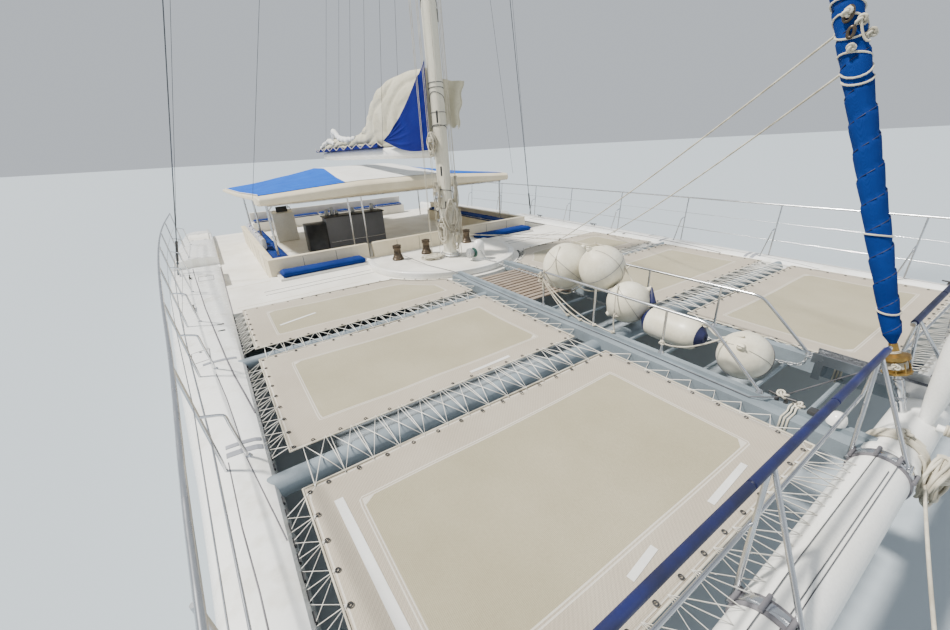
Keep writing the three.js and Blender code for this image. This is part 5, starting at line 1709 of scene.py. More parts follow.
def make_windlass():
    x, y = WINDLASS
    z = DECK_TOP
    dome = spun([(0, z), (0.185, z), (0.185, z + 0.02), (0.175, z + 0.032), (0.152, z + 0.045),
                 (0.147, z + 0.12),
                 (0.146, z + 0.33), (0.138, z + 0.39), (0.120, z + 0.43), (0.092, z + 0.465),
                 (0.055, z + 0.488),
                 (0, z + 0.498)], (x, y), sides=40)
    parts = []
    axle = z + 0.19
    for a, b, r, soft in ((0.0, -0.33, 0.045, 0.004), (-0.225, -0.31, 0.125, 0.012),
                          (-0.165, -0.225, 0.07, 0.004)):
        parts.append(drum((x, y + a, axle), (x, y + b, axle), r, sides=40, soft=soft))
    gypsy = [drum((x, y - 0.12, axle), (x, y - 0.165, axle), 0.122, sides=40, soft=0.010),
             lump((x - 0.16, y - 0.02, z + 0.02), (x - 0.13, y + 0.05, z + 0.10), soft=0.008)]
    return dome, join("windlass_drum", parts), join("windlass_gypsy", gypsy)


windlass_dome, windlass_drum, windlass_gypsy = make_windlass()
windlass_dome.name = "windlass_housing"
finish(windlass_dome, white_gelcoat, hides=["windlass"])
finish(windlass_drum, galvanised)
finish(windlass_gypsy, gypsy_green)
print(count(windlass_dome))

# %% [markdown]
# The lowered mainsail lies flaked along the boom, and near the mast it still stands in one high rounded arch
# of loose cloth. It is a bundle of many layers, so it is modelled as one folded mass: rings of points along
# the boom give its height and width, and soft creases that follow the arch are pushed into it.

# %% Mainsail bundle
SAIL_FLOOR = 4.400
# x, half width, top
SAIL_ROWS = [
    (-9.90, 0.09, 4.56), (-9.30, 0.14, 4.66), (-8.50, 0.16, 4.74), (-7.60, 0.18, 4.86), (-6.40, 0.19, 4.80),
    (-5.20, 0.20, 4.82), (-4.20, 0.21, 4.92), (-3.60, 0.21, 5.08), (-3.15, 0.22, 5.42), (-2.75, 0.22, 5.74),
    (-2.20, 0.23, 5.97), (-1.40, 0.23, 6.08), (-0.30, 0.23, 6.09), (0.70, 0.17, 6.02)]


def sail_size(x):
    for low, high in zip(SAIL_ROWS, SAIL_ROWS[1:]):
        if x <= high[0]:
            share = (x - low[0]) / (high[0] - low[0])
            share = share * share * (3 - 2 * share)
            return [a + (b - a) * share for a, b in zip(low[1:], high[1:])]
    return SAIL_ROWS[-1][1:]


def fold_in(point, top):
    """Push a point of the bundle inwards, so that flakes and the arch's creases show on its skin."""
    x, y, z = point
    height = max(0.0, (z - SAIL_FLOOR) / (top - SAIL_FLOOR))
    wander = noise.noise(Vector((x * 0.55, y * 0.8, z * 0.6)))
    rise = min(1.0, max(0.0, (top - 4.95) / 0.7))
    flakes = abs(math.sin(z * 15.0 - x * 1.6 + wander * 6.0 + math.copysign(0.9, y)))
    arch = math.hypot((x - 1.3) * 0.48, z - 4.2)
    creases = abs(math.sin(arch * 7.5 + wander * 3.4))
    flaked = (1 - flakes) ** 1.3 * 0.34
    arched = (1 - creases) ** 2.0 * 0.26 + 0.05 * noise.noise(Vector((x * 3.0, y, z * 3.0)))
    low_share = max(0.0, 1 - (z - SAIL_FLOOR) / 0.55)
    depth = flaked * (1 - rise) + rise * (arched * (1 - low_share) + flaked * low_share)
    crest = 0.030 * abs(math.sin(x * 5.1 + wander * 4)) * (1 - rise) + 0.035 * rise * abs(wander)
    return Vector((x, y * (1 - depth), max(SAIL_FLOOR, z - crest * height)))


def make_sail():
    rings, around = 300, 80
    start, end = SAIL_ROWS[0][0], SAIL_ROWS[-1][0]
    mesh = bpy.data.meshes.new("mainsail_bundle")
    points, faces = [], []
    for ring in range(rings + 1):
        x = start + (end - start) * ring / rings
        half, top = sail_size(x)
        lift = (top - SAIL_FLOOR) / 2
        for step in range(around):
            a = math.tau * step / around
            c, s = math.cos(a), math.sin(a)
            y = half * math.copysign(abs(c) ** 0.75, c)
            z = SAIL_FLOOR + lift + lift * math.copysign(abs(s) ** 0.8, s)
            points.append(fold_in(Vector((x, y, z)), top))
    for ring in range(rings):
        for step in range(around):
            a, b = ring * around + step, ring * around + (step + 1) % around
            faces.append((a, a + around, b + around, b))
    faces.append(tuple(range(around)))
    faces.append(tuple(rings * around + step for step in reversed(range(around))))
    mesh.from_pydata(points, [], faces)
    sail = bpy.data.objects.new("mainsail_bundle", mesh)
    bpy.context.scene.collection.objects.link(sail)
    merged(sail, 0.0001)
    smooth(sail, 60)
    return sail


mainsail = make_sail()
finish(mainsail, sailcloth, "boom", hides=["mainsail"])
print(count(mainsail))

# %% [markdown]
# At the boom's aft end the leech of the sail lies in loose twisted rolls that stand up from the heap. Each is
# a thick line with a swelling radius, creased along its length by a wave that winds round it.

# %% Twisted rolls of the leech
# points and radius of each roll
ROLLS = [
    [((-7.62, -0.05, 4.82), 0.07), ((-7.58, -0.08, 5.02), 0.10), ((-7.42, -0.10, 5.16), 0.085),
     ((-7.22, -0.11, 5.10), 0.10), ((-7.00, -0.10, 4.97), 0.085), ((-6.72, -0.12, 4.86), 0.10),
     ((-6.30, -0.13, 4.79), 0.085), ((-5.80, -0.14, 4.75), 0.10), ((-5.20, -0.15, 4.74), 0.08),
     ((-4.60, -0.16, 4.76), 0.06)],
    [((-9.60, -0.10, 4.58), 0.06), ((-9.00, -0.13, 4.66), 0.09), ((-8.50, -0.10, 4.78), 0.085),
     ((-8.05, -0.12, 4.80), 0.10), ((-7.70, -0.12, 4.72), 0.09), ((-7.30, -0.14, 4.66), 0.07)],
    [((-8.30, 0.10, 4.70), 0.07), ((-7.90, 0.12, 4.86), 0.10), ((-7.45, 0.10, 4.90), 0.10),
     ((-7.00, 0.12, 4.80), 0.08), ((-6.40, 0.13, 4.72), 0.07)],
]


def make_rolls():
    parts = []
    for line in ROLLS:
        parts.append(rod([place for place, _ in line], 1.0, sides=24, bent=True, radii=[r for _, r in line]))
    rolls = join("leech_rolls", parts)
    apply_modifier(rolls, "SUBSURF", levels=1, render_levels=1)
    for vertex in rolls.data.vertices:
        x, y, z = vertex.co
        twist = math.sin(x * 11 + math.atan2(z - 4.85, y + 0.11) * 3)
        vertex.co = vertex.co + vertex.normal * (0.012 * twist + 0.012 * noise.noise(vertex.co * 6))
        vertex.co.z = max(SAIL_FLOOR, vertex.co.z)
    smooth(rolls, 60)
    return rolls


leech_rolls = make_rolls()
finish(leech_rolls, roof_white, "boom")
print(count(leech_rolls))

# %% [markdown]
# On the port side a slack piece of the luff hangs out beside the mast. It is one cloth with long upright
# folds and a white hem, held along its inner edge in the bundle.

# %% Slack luff on the port side
LUFF_TOP = [(0.50, 0.12, 5.93), (0.56, 0.62, 5.86), (0.62, 1.10, 5.80)]
LUFF_FOOT = [(0.42, 0.14, 4.88), (0.50, 0.55, 4.80), (0.56, 0.92, 4.74)]


def bend(points, share):
    """A point on the smooth line through three points."""
    a, b, c = [Vector(point) for point in points]
    return a * (1 - share) ** 2 + (b * 2 - (a + c) / 2) * (2 * share * (1 - share)) + c * share ** 2


def luff_point(across, up):
    """A point of the slack luff, with its folds, its billow and its wavy free edges."""
    point = bend(LUFF_FOOT, across).lerp(bend(LUFF_TOP, across), up)
    fold = 0.045 * math.sin(across * 17 + 0.8 * math.sin(up * 3)) * (0.4 + 0.6 * across)
    billow = 0.16 * math.sin(math.pi * up) * math.sin(math.pi * min(1.0, across * 1.1))
    hem = 0.035 * math.sin(across * 23) * (1 - up) ** 4
    dip = -0.05 * math.sin(math.pi * across) * up ** 3
    edge = 0.03 * math.sin(up * 15) * across ** 6
    return Vector((point.x + fold - billow, point.y + edge, point.z + hem + dip))


def make_slack_luff():
    bpy.ops.object.select_all(action="DESELECT")
    bpy.ops.mesh.primitive_grid_add(x_subdivisions=56, y_subdivisions=60, size=1)
    luff = bpy.context.object
    luff.name = "slack_luff"
    for vertex in luff.data.vertices:
        vertex.co = luff_point(vertex.co.x + 0.5, vertex.co.y + 0.5)
    area = sum(face.area for face in luff.data.polygons)
    shares = [step / 60 for step in range(61)]
    hems = [rod([luff_point(share, 0.0) for share in shares], 0.014),
            rod([luff_point(1.0, share) for share in shares], 0.012)]
    apply_modifier(luff, "SOLIDIFY", thickness=0.003, offset=0)
    smooth(luff, 60)
    return luff, area, join("slack_luff_hem", hems)


slack_luff, luff_area, luff_hem = make_slack_luff()
finish(slack_luff, sailcloth, "boom")
finish(luff_hem, roof_white, "boom")
print(count(slack_luff), "and", round(luff_area, 2), "square metres")

# %% [markdown]
# A dark blue cover is laced under and beside the aft part of the boom. It is one strip of cloth bent up on
# each side. Its top edge hangs in scallops between the ties, and a white cord crosses under the boom in long
# diagonals from tie to tie.

# %% Blue boom bag
BAG_AFT, BAG_FRONT, BAG_LOW, BAG_HIGH, BAG_HALF = -10.09, -2.40, 4.394, 4.56, 0.258
TIE_PITCH = 0.96


def bag_edge(x):
    """The height of the bag's top edge, which hangs in scallops between its ties."""
    share = ((x - BAG_AFT) / TIE_PITCH) % 1.0
    return BAG_HIGH - 0.085 * math.sin(math.pi * share) ** 0.8


def make_bag():
    rows, columns = 180, 18
    bpy.ops.object.select_all(action="DESELECT")
    bpy.ops.mesh.primitive_grid_add(x_subdivisions=rows, y_subdivisions=columns, size=1)
    bag = bpy.context.object
    bag.name = "boom_bag"
    side = BAG_HIGH - BAG_LOW
    girth = 2 * (side + BAG_HALF)
    layer = bag.data.uv_layers.active
    places = []
    for vertex in bag.data.vertices:
        along, across = vertex.co.x + 0.5, vertex.co.y + 0.5
        x = BAG_AFT + (BAG_FRONT - BAG_AFT) * along
        s = (across - 0.5) * girth
        places.append((x, s))
        if abs(s) < BAG_HALF:
            y, z = s, BAG_LOW + 0.004 + 0.003 * math.sin(x * 9)
        else:
            up = (abs(s) - BAG_HALF) / side
            sway = 0.012 * math.sin(x * 13.7) - 0.014
            y = math.copysign(BAG_HALF + sway * up * 0.8, s)
            z = BAG_LOW + (bag_edge(x) - BAG_LOW) * up
        vertex.co = (x, y, min(z, BAG_HIGH))
    for loop in bag.data.loops:
        layer.data[loop.index].uv = places[loop.vertex_index]
    area = sum(face.area for face in bag.data.polygons)
    merged(bag, 0.0001)
    apply_modifier(bag, "SOLIDIFY", thickness=0.004, offset=0)
    smooth(bag, 60)
    return bag, area, girth


bag, bag_area, bag_girth = make_bag()
finish(bag, flap_blue, "boom", hides=["sail_cover"])


def make_bag_ties():
    parts = []
    for side in (-1, 1):
        points = []
        for step in range(9):
            x = BAG_AFT + TIE_PITCH * step
            if x > BAG_FRONT:
                break
            points.append((x, side * (BAG_HALF + 0.010), BAG_HIGH - 0.01))
            points.append((x + TIE_PITCH * 0.42, side * (BAG_HALF + 0.012), BAG_LOW + 0.02))
        parts.append(rod(points, 0.011))
    return join("boom_bag_ties", parts)


bag_ties = make_bag_ties()
finish(bag_ties, white_rope, "boom")
print(count(bag), "and", round(bag_area, 2), "square metres of cloth")

# %% [markdown]
# The cover's front flap rises in a triangle beside the mast, its front edge tied to the mast. Its folds fan
# out from the tack, the corner at its aft end, and a few creases run up to its peak.

# %% Blue front flap
FLAP_TACK = Vector((-1.82, -0.255, 4.56))
FLAP_FOOT = Vector((1.00, -0.225, 4.25))
FLAP_PEAK = Vector((1.02, -0.205, 6.10))


def make_flap():
    rows, columns = 64, 56
    bpy.ops.object.select_all(action="DESELECT")
    bpy.ops.mesh.primitive_grid_add(x_subdivisions=rows, y_subdivisions=columns, size=1)
    flap = bpy.context.object
    flap.name = "boom_cover_flap"
    for vertex in flap.data.vertices:
        out, turn = vertex.co.x + 0.5, vertex.co.y + 0.5
        far = FLAP_FOOT.lerp(FLAP_PEAK, turn)
        point = FLAP_TACK.lerp(far, out)
        belly = math.sin(math.pi * out)
        point.z -= 0.14 * belly * (1 - turn) ** 2
        point.x += 0.10 * belly * turn ** 3
        point.z -= 0.10 * belly * turn ** 3
        spread = math.sin(math.pi * min(1.0, out * 0.9 + 0.05))
        fan = math.sin(turn * 34 + 0.9 * math.sin(out * 5)) * 0.022 * spread
        lift = math.sin(out * 21 + turn * 5) * 0.012 * turn * (1 - out)
        inner = -0.258 - 0.012
        y = point.y + fan * 0.6 + lift
        vertex.co = (point.x, min(y, inner + 0.03) if point.x < 0.70 else y, point.z)
    area = sum(face.area for face in flap.data.polygons)
    merged(flap, 0.0001)
    apply_modifier(flap, "SOLIDIFY", thickness=0.004, offset=0)
    smooth(flap, 60)
    return flap, area


flap, flap_area = make_flap()
finish(flap, flap_blue, None)
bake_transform(flap)
print(count(flap), "and", round(flap_area, 2), "square metres")

# %% [markdown]
# Ahead, the headsail is rolled round its stay with its royal-blue edge strip outside, so it looks like a long
# blue rope with a shallow spiral. The roll is drawn as a stack of many rings, the spiral is pushed into it,
# and thin white ties hold it near its foot.

# %% Furled headsail
STAY_X, STAY_Z, STAY_RAKE = 9.80, 1.70, -0.3648
# height, radius
ROLL_ROWS = [(2.3215, 0.030), (2.42, 0.075), (3.30, 0.095), (8.0, 0.140), (16.0, 0.120), (23.3, 0.070),
             (25.15, 0.034)]


def stay_point(z):
    return Vector((STAY_X + STAY_RAKE * (z - STAY_Z), 0, z))


def roll_radius(z):
    for (z0, r0), (z1, r1) in zip(ROLL_ROWS, ROLL_ROWS[1:]):
        if z <= z1:
            return r0 + (r1 - r0) * (z - z0) / (z1 - z0)
    return ROLL_ROWS[-1][1]


def make_roll():
    rings, around = 520, 40
    axis = (stay_point(10) - stay_point(0)).normalized()
    side = Vector((0, 1, 0))
    front = side.cross(axis)
    points, faces = [], []
    low, high = ROLL_ROWS[0][0], ROLL_ROWS[-1][0]
    for ring in range(rings + 1):
        z = low + (high - low) * (ring / rings) ** 1.45
        for step in range(around):
            a = math.tau * step / around
            lap = ((a + 27 * min(z, 6.0) + 9 * max(0.0, z - 6.0)) / math.tau) % 1.0
            r = roll_radius(z) * (0.84 + 0.16 * lap ** 0.6)
            r *= 1 + 0.05 * noise.noise(Vector((math.cos(a) * 1.6, math.sin(a) * 1.6, z * 3.1)))
            points.append(stay_point(z) + side * r * math.cos(a) + front * r * math.sin(a))
    for ring in range(rings):
        for step in range(around):
            a, b = ring * around + step, ring * around + (step + 1) % around
            faces.append((a, b, b + around, a + around))
    faces.append(tuple(reversed(range(around))))
    faces.append(tuple(rings * around + step for step in range(around)))
    mesh = bpy.data.meshes.new("headsail_roll")
    mesh.from_pydata(points, [], faces)
    roll = bpy.data.objects.new("headsail_roll", mesh)
    bpy.context.scene.collection.objects.link(roll)
    merged(roll, 0.00005)
    smooth(roll, 50)
    return roll


roll = make_roll()
finish(roll, royal_blue, "furler", hides=["furled_headsail"])



def make_roll_seam_and_lap_shade():
    """A dark line in the step where one layer of the roll laps over the last: stitching and painted shade."""
    points = []
    z = 2.40
    while z < 24.6:
        a = -(27 * min(z, 6.0) + 9 * max(0.0, z - 6.0))
        r = roll_radius(z) * 0.93 + 0.001
        points.append(stay_point(z) + Vector((0.94 * r * math.sin(a), r * math.cos(a),
                                              0.34 * r * math.sin(a))))
        z += 0.011 if z < 6 else 0.035
    # The dark line sits in the lap's step: stitching, and painted shade under the layer's edge.
    return rod(points, 0.0045, "headsail_seam_and_lap_shade")


roll_seam_and_lap_shade = make_roll_seam_and_lap_shade()
finish(roll_seam_and_lap_shade, navy_vinyl_and_lap_shade, "furler")

TIES = [(4.62, 0.35), (4.80, -0.2), (4.98, 0.3), (5.20, -0.35), (5.62, 0.15), (2.62, 0.1), (3.3, -0.1),
        (4.70, 0.5), (5.06, -0.5)]


def make_ties():
    parts = []
    for z, tilt in TIES:
        radius = roll_radius(z) + 0.004
        points = []
        for step in range(17):
            a = math.tau * step / 16
            centre = stay_point(z + 0.05 * math.sin(a) * tilt * 3)
            points.append(centre + Vector((radius * math.cos(a), radius * math.sin(a), 0)))
        parts.append(rod(points, 0.009))
    return join("headsail_ties", parts)


ties = make_ties()
finish(ties, white_rope, "furler")
print(count(roll), "and", count(ties))

# %% [markdown]
# The hardtop is a white moulded roof with a thick rolled lip in front. Canvas is stretched over it: a white
# middle and a bright blue piece on each side, whose seam runs slantwise from the lip to the flat top. The
# roof's skin is a copy of the CAD solid with rounded edges, and the canvas lies a few millimetres above it.

# %% Roof shell
# x, half width, top at the edge, top in the middle, depth of the edge
ROOF_ROWS = [
    (-8.95, 4.38, 3.20, 3.48, 0.060), (-8.80, 4.40, 3.23, 3.54, 0.090), (-6.60, 4.30, 3.25, 3.82, 0.100),
    (-5.20, 4.24, 3.27, 3.82, 0.100), (-1.80, 4.05, 3.37, 3.54, 0.110), (-1.75, 4.045, 3.37, 3.54, 0.230),
    (-1.40, 4.02, 3.36, 3.52, 0.220), (-1.29, 3.96, 3.29, 3.42, 0.110)]

roof = copy_of("hardtop", "roof_shell", 40)
for end in (-8.95, -1.29):
    edit(roof, lambda centre, normal: abs(normal.x) > 0.99 and abs(centre.x - end) < 0.005)
    bpy.ops.mesh.delete(type="FACE")
    bpy.ops.mesh.select_mode(type="EDGE")
    bpy.ops.mesh.select_non_manifold()
    bpy.ops.mesh.edge_face_add()
    leave_edit()
apply_modifier(roof, "BEVEL", width=0.03, segments=3, limit_method="ANGLE", angle_limit=0.8)
apply_modifier(roof, "TRIANGULATE")
smooth(roof, 40)
apply_modifier(roof, "WEIGHTED_NORMAL", keep_sharp=True)
finish(roof, panel_cream, hides=["hardtop"])
print(count(roof))


def roof_row(x):
    for low, high in zip(ROOF_ROWS, ROOF_ROWS[1:]):
        if x <= high[0]:
            share = (x - low[0]) / (high[0] - low[0])
            return [a + (b - a) * share for a, b in zip(low, high)]
    return ROOF_ROWS[-1]


roof_surface = surface_of(roof)


def roof_top(x, y):
    """The height of the roof shell, found by a ray cast straight down onto it."""
    point, *_ = roof_surface.ray_cast(Vector((x, y, 6.0)), Vector((0, 0, -1)))
    return point.z


# %% Roof canvas
CANVAS_FRONT, CANVAS_AFT = -1.62, -8.72


def seam_at(x):
    """The distance from the centreline of the seam between white and blue canvas."""
    share = min(1.0, max(0.0, (CANVAS_FRONT - x) / 3.4))
    return 1.65 + (1.30 - 1.65) * share


def make_canvas(name, side):
    """The canvas of one side, or of the middle where the side is 0, laid on the shell point by point."""
    rows, columns = 90, 26 if side else 36
    bpy.ops.object.select_all(action="DESELECT")
    bpy.ops.mesh.primitive_grid_add(x_subdivisions=rows, y_subdivisions=columns, size=1)
    canvas = bpy.context.object
    canvas.name = name
    layer = canvas.data.uv_layers.active
    places = []
    for vertex in canvas.data.vertices:
        along, across = vertex.co.x + 0.5, vertex.co.y + 0.5
        x = CANVAS_AFT + (CANVAS_FRONT - CANVAS_AFT) * along
        inner = seam_at(x)
        low, high = sorted((side * inner, side * (roof_row(x)[1] - 0.10))) if side else (-inner, inner)
        y = low + (high - low) * across
        frame_pull = 0.010 * math.sin(math.pi * ((x + 9.0) % 1.7) / 1.7)
        ripple = 0.003 * noise.noise(Vector((x * 2.1, y * 2.1, 3.0)))
        places.append((x, y))
        vertex.co = (x, y, roof_top(x, y) + 0.018 - frame_pull * 0.6 + ripple)
    for loop in canvas.data.loops:
        layer.data[loop.index].uv = places[loop.vertex_index]
    area = sum(face.area for face in canvas.data.polygons)
    merged(canvas, 0.0001)
    apply_modifier(canvas, "SOLIDIFY", thickness=0.004, offset=0)
    smooth(canvas, 60)
    return canvas, area


def declare_canvas(area, width):
    length = CANVAS_FRONT - CANVAS_AFT
    length = max(length, area / width)


# name, side, paint, slot, width of the flat cloth
CANVAS = [
    ("roof_canvas_white", 0, roof_white, "sailcloth", 3.3),
    ("roof_canvas_blue_port", 1, roof_blue, "blue_cloth", 3.05),
    ("roof_canvas_blue_starboard", -1, roof_blue, "blue_cloth", 3.05),
]
for name, side, paint, slot, width in CANVAS:
    canvas, area = make_canvas(name, side)
    finish(canvas, paint)
    declare_canvas(area, width)
    print(name, round(area, 1), "square metres")

# %% Seams and battens of the canvas
def make_canvas_seams(name, side):
    xs = [CANVAS_AFT + (CANVAS_FRONT - CANVAS_AFT) * step / 40 for step in range(41)]
    inner = [(x, side * seam_at(x)) for x in xs]
    outer = [(x, side * (roof_row(x)[1] - 0.10)) for x in xs]
    return join(name, [rod([(x, y, roof_top(x, y) + lift) for x, y in line], radius)
                       for line, lift, radius in ((inner, 0.027, 0.008), (outer, 0.024, 0.010))])


for name, side in (("roof_seams_port", 1), ("roof_seams_starboard", -1)):
    seams = finish(make_canvas_seams(name, side), white_webbing)
    print(count(seams))

# %% [markdown]
# Low cream walls close the cockpit in front and at the sides. On the boat they are moulded panels about a
# metre wide with a cap along the top and thin upright joints between them. The CAD wall stays inside the
# dressed one: its copy gets rounded edges, and joints and caps are added.

# %% Cockpit walls
coaming = copy_of("cockpit_coaming", "cockpit_wall", 40)
apply_modifier(coaming, "BEVEL", width=0.018, segments=3, limit_method="ANGLE", angle_limit=0.8)
smooth(coaming, 40)
finish(coaming, panel_cream, hides=["cockpit_coaming"])


def make_caps():
    parts = []
    for y0, y1 in ((-4.18, -1.60), (-1.44, 1.44), (1.60, 4.18)):
        parts.append(lump((-0.805, y0, 1.875), (-0.645, y1, 1.915), soft=0.012))
    for side in (-1, 1):
        y0, y1 = sorted((side * 4.035, side * 4.195))
        parts.append(lump((-7.62, y0, 1.875), (-0.806, y1, 1.915), soft=0.012))
    return join("cockpit_wall_caps", parts)


def make_joints():
    parts = []
    for y in (-3.35, -2.50, -0.72, 0.0, 0.72, 2.50, 3.35):
        parts.append(lump((-0.664, y - 0.006, 1.49), (-0.6585, y + 0.006, 1.88), soft=0.001))
    for x in (-1.7, -2.7, -3.7, -4.7, -5.7, -6.7):
        for side in (-1, 1):
            y0, y1 = sorted((side * 4.178, side * 4.183))
            parts.append(lump((x - 0.006, y0, 1.28), (x + 0.006, y1, 1.88), soft=0.001))
    return join("cockpit_wall_joints", parts)


finish(make_caps(), panel_cream)
finish(make_joints(), black_plastic_and_slot_shade)

# %% [markdown]
# Cushions are foam in a sewn cover, tight and a little crowned. Each starts as a rounded block, a bit smaller
# than its seat. Blender's cloth then blows it up with a little pressure and no gravity, and a cap on how far
# a point may move keeps it in its place. Seams go on afterwards, because the remesh would wipe them out.

# %% Cushions
def seat_blocks(low, high, seats, axis, gap):
    """The corners of each seat in a row between two corners."""
    blocks = []
    for seat in range(seats):
        corner, far = list(low), list(high)
        corner[axis] = low[axis] + (high[axis] - low[axis]) * seat / seats + gap
        far[axis] = low[axis] + (high[axis] - low[axis]) * (seat + 1) / seats - gap
        blocks.append((corner, far))
    return blocks


def swell(pad, voxel, cap):
    """Blow a closed pad up as cloth, then hold every point within a cap of where it began."""
    pad.data.remesh_voxel_size = voxel
    only(pad)
    bpy.ops.object.voxel_remesh()
    start = [vertex.co.copy() for vertex in pad.data.vertices]
    scene = bpy.context.scene
    scene.frame_set(1)
    cloth = pad.modifiers.new("swelling", "CLOTH")
    cloth.settings.use_pressure = True
    cloth.settings.uniform_pressure_force = 4
    cloth.settings.effector_weights.gravity = 0
    cloth.point_cache.frame_start = 1
    cloth.point_cache.frame_end = 14
    for step in range(1, 15):
        scene.frame_set(step)
    only(pad)
    bpy.ops.object.modifier_apply(modifier=cloth.name)
    scene.frame_set(1)
    for vertex, place in zip(pad.data.vertices, start):
        move = vertex.co - place
        if move.length > cap:
            vertex.co = place + move * (cap / move.length)
    return pad


SWELL_CAP = 0.020
SEAM_RADIUS = 0.006


def make_cushion(name, low, high, seats, axis, soft=0.045):
    """A row of seat cushions between two corners, each seat a swollen pad of its own."""
    parts = []
    shrink = 0.012
    for corner, far in seat_blocks(low, high, seats, axis, 0.004):
        small = [c + shrink for c in corner]
        large = [f - shrink for f in far]
        small[2] = corner[2] + 0.004
        pad = lump(small, large, soft=soft, steps=4)
        parts.append(swell(pad, 0.022, SWELL_CAP))
    cushion = join(name, parts)
    apply_modifier(cushion, "SUBSURF", levels=1, render_levels=1)
    for vertex in cushion.data.vertices:
        vertex.co.z = max(low[2], min(high[2] + 0.012, vertex.co.z))
        crease = noise.noise(Vector((vertex.co.x * 7, vertex.co.y * 7, 2.0)))
        vertex.co.z += 0.003 * crease * (vertex.co.z > (low[2] + high[2]) / 2)
    smooth(cushion, 60)
    return cushion


def make_cushion_seams(name, low, high, seats, axis):
    """A piped seam round the middle of each seat."""
    parts = []
    z = low[2] + (high[2] - low[2]) * 0.55
    for corner, far in seat_blocks(low, high, seats, axis, 0.006):
        x0, x1, y0, y1 = corner[0] + 0.006, far[0] - 0.006, corner[1] + 0.006, far[1] - 0.006
        r = 0.04
        loop = [(x0 + r, y0, z), (x1 - r, y0, z), (x1, y0 + r, z), (x1, y1 - r, z), (x1 - r, y1, z),
                (x0 + r, y1, z), (x0, y1 - r, z), (x0, y0 + r, z), (x0 + r, y0, z)]
        parts.append(rod(loop, SEAM_RADIUS))
    return join(name, parts)


# node, name, low corner, high corner, seats, axis they follow
CUSHIONS = [
    ("bench_cushion_port", "bench_cushion_cover_port", (-0.60, 1.85, 1.5355), (-0.07, 4.02, 1.668), 1, 1),
    ("bench_cushion_starboard", "bench_cushion_cover_starboard", (-0.60, -4.02, 1.5355),
     (-0.07, -1.85, 1.668), 1, 1),
    ("side_cushion_port", "side_cushions_port", (-6.845, 3.525, 1.6705), (-1.105, 4.04, 1.778), 4, 0),
    ("side_cushion_starboard", "side_cushions_starboard", (-6.845, -4.04, 1.6705), (-1.105, -3.525, 1.778), 4,
     0),
    ("aft_cushion", "aft_cushions", (-10.245, -3.555, 1.6705), (-9.795, 3.555, 1.778), 5, 1),
]
for node, name, low, high, seats, axis in CUSHIONS:
    cushion = make_cushion(name, low, high, seats, axis, soft=0.055 if "bench" in name else 0.035)
    finish(cushion, cushion_blue, hides=[node])
    seams = make_cushion_seams(f"{name}_seams", low, high, seats, axis)
    finish(seams, cushion_blue if "bench" in name else white_webbing)
    print(count(cushion))

# %% [markdown]
# On the starboard side stand back cushions with broad blue and white stripes, which lean on the wall. They
# are blown up the same way, a little fuller than the seats.

# %% Back cushions
def make_striped_cloth():
    paint, tree, shader = new_finish("striped_cloth", 0.7, sheen=0.2)
    place = object_place(tree)
    along = axis_of(tree, place, 0)
    band = maths(tree, maths(tree, along, 0.115, "MODULO"), 0.0, "ABSOLUTE")
    stripe = maths(tree, band, 0.055, "GREATER_THAN")
    weave = maths(tree, wave_of(tree, place, 130.0, 0.4, "X"), wave_of(tree, place, 130.0, 0.4, "Z"),
                  "MULTIPLY")
    colour = mix_of(tree, stripe, (0.010, 0.030, 0.19), (0.62, 0.62, 0.60))
    colour = mix_of(tree, 0.3, colour, ramp_of(tree, weave, (0.0, 0.7), (0.6, 1.0)), "MULTIPLY")
    tree.links.new(colour, shader.inputs["Base Color"])
    bump_of(tree, shader, weave, 0.0008)
    return paint


striped_cloth = make_striped_cloth()
back_pads = []
for x in (-6.55, -5.75, -4.95, -4.15, -3.35):
    pad = lump((x, -4.035, 1.795), (x + 0.66, -3.93, 2.13), soft=0.035, steps=3)
    back_pads.append(swell(pad, 0.022, 0.016))
back_pads = join("back_cushions_starboard", back_pads)
apply_modifier(back_pads, "SUBSURF", levels=1, render_levels=1)
smooth(back_pads, 60)
finish(back_pads, striped_cloth)
print(count(back_pads))

# %% [markdown]
# In the cockpit stand a bar with a plain grey front and black top, and the helm with its wheel, a screen hood
# and engine levers. They are seen through the gap under the roof, so their main shapes and fittings are
# enough.

# %% Bar
def make_bar():
    body = lump((-4.21, -1.91, 1.271), (-3.69, 0.11, 2.32), "bar_body", 0.012)
    top = lump((-4.25, -1.95, 2.315), (-3.65, 0.15, 2.36), "bar_top", 0.016, 3)
    cabinet = lump((-4.19, -2.57, 1.271), (-3.71, -1.905, 2.18), "cabinet", 0.015)
    edit(cabinet, lambda centre, normal: normal.x > 0.9)
    bpy.ops.mesh.inset(thickness=0.045)
    bpy.ops.mesh.inset(thickness=0.006, depth=-0.012)
    leave_edit()
    shelf = [lump((-4.16, y, 2.36), (-3.98, y + 0.10, z), soft=0.02) for y, z in
             ((-1.80, 2.56), (-1.62, 2.62), (-1.47, 2.50), (-0.9, 2.52), (-0.2, 2.58))]
    return body, join("bar_top_and_cabinet", [top, cabinet]), join("bar_things", shelf)


bar_body, bar_top, bar_things = make_bar()
bar_grey = weathered("bar_front", (0.17, 0.17, 0.18), (0.13, 0.13, 0.138), 0.5, 1.2, 60, 0.0006)
finish(bar_body, bar_grey, hides=["bar_counter"])
finish(bar_top, black_plastic_and_slot_shade)
finish(bar_things, galvanised)
bar_rail = rod([(-3.66, -1.85, 1.52), (-3.60, -1.80, 1.52), (-3.60, 0.0, 1.52), (-3.66, 0.05, 1.52)], 0.014,
               "bar_foot_rail", 12)
finish(bar_rail, stainless)

# %% Helm
HELM = (-7.17, -2.75, 2.20)


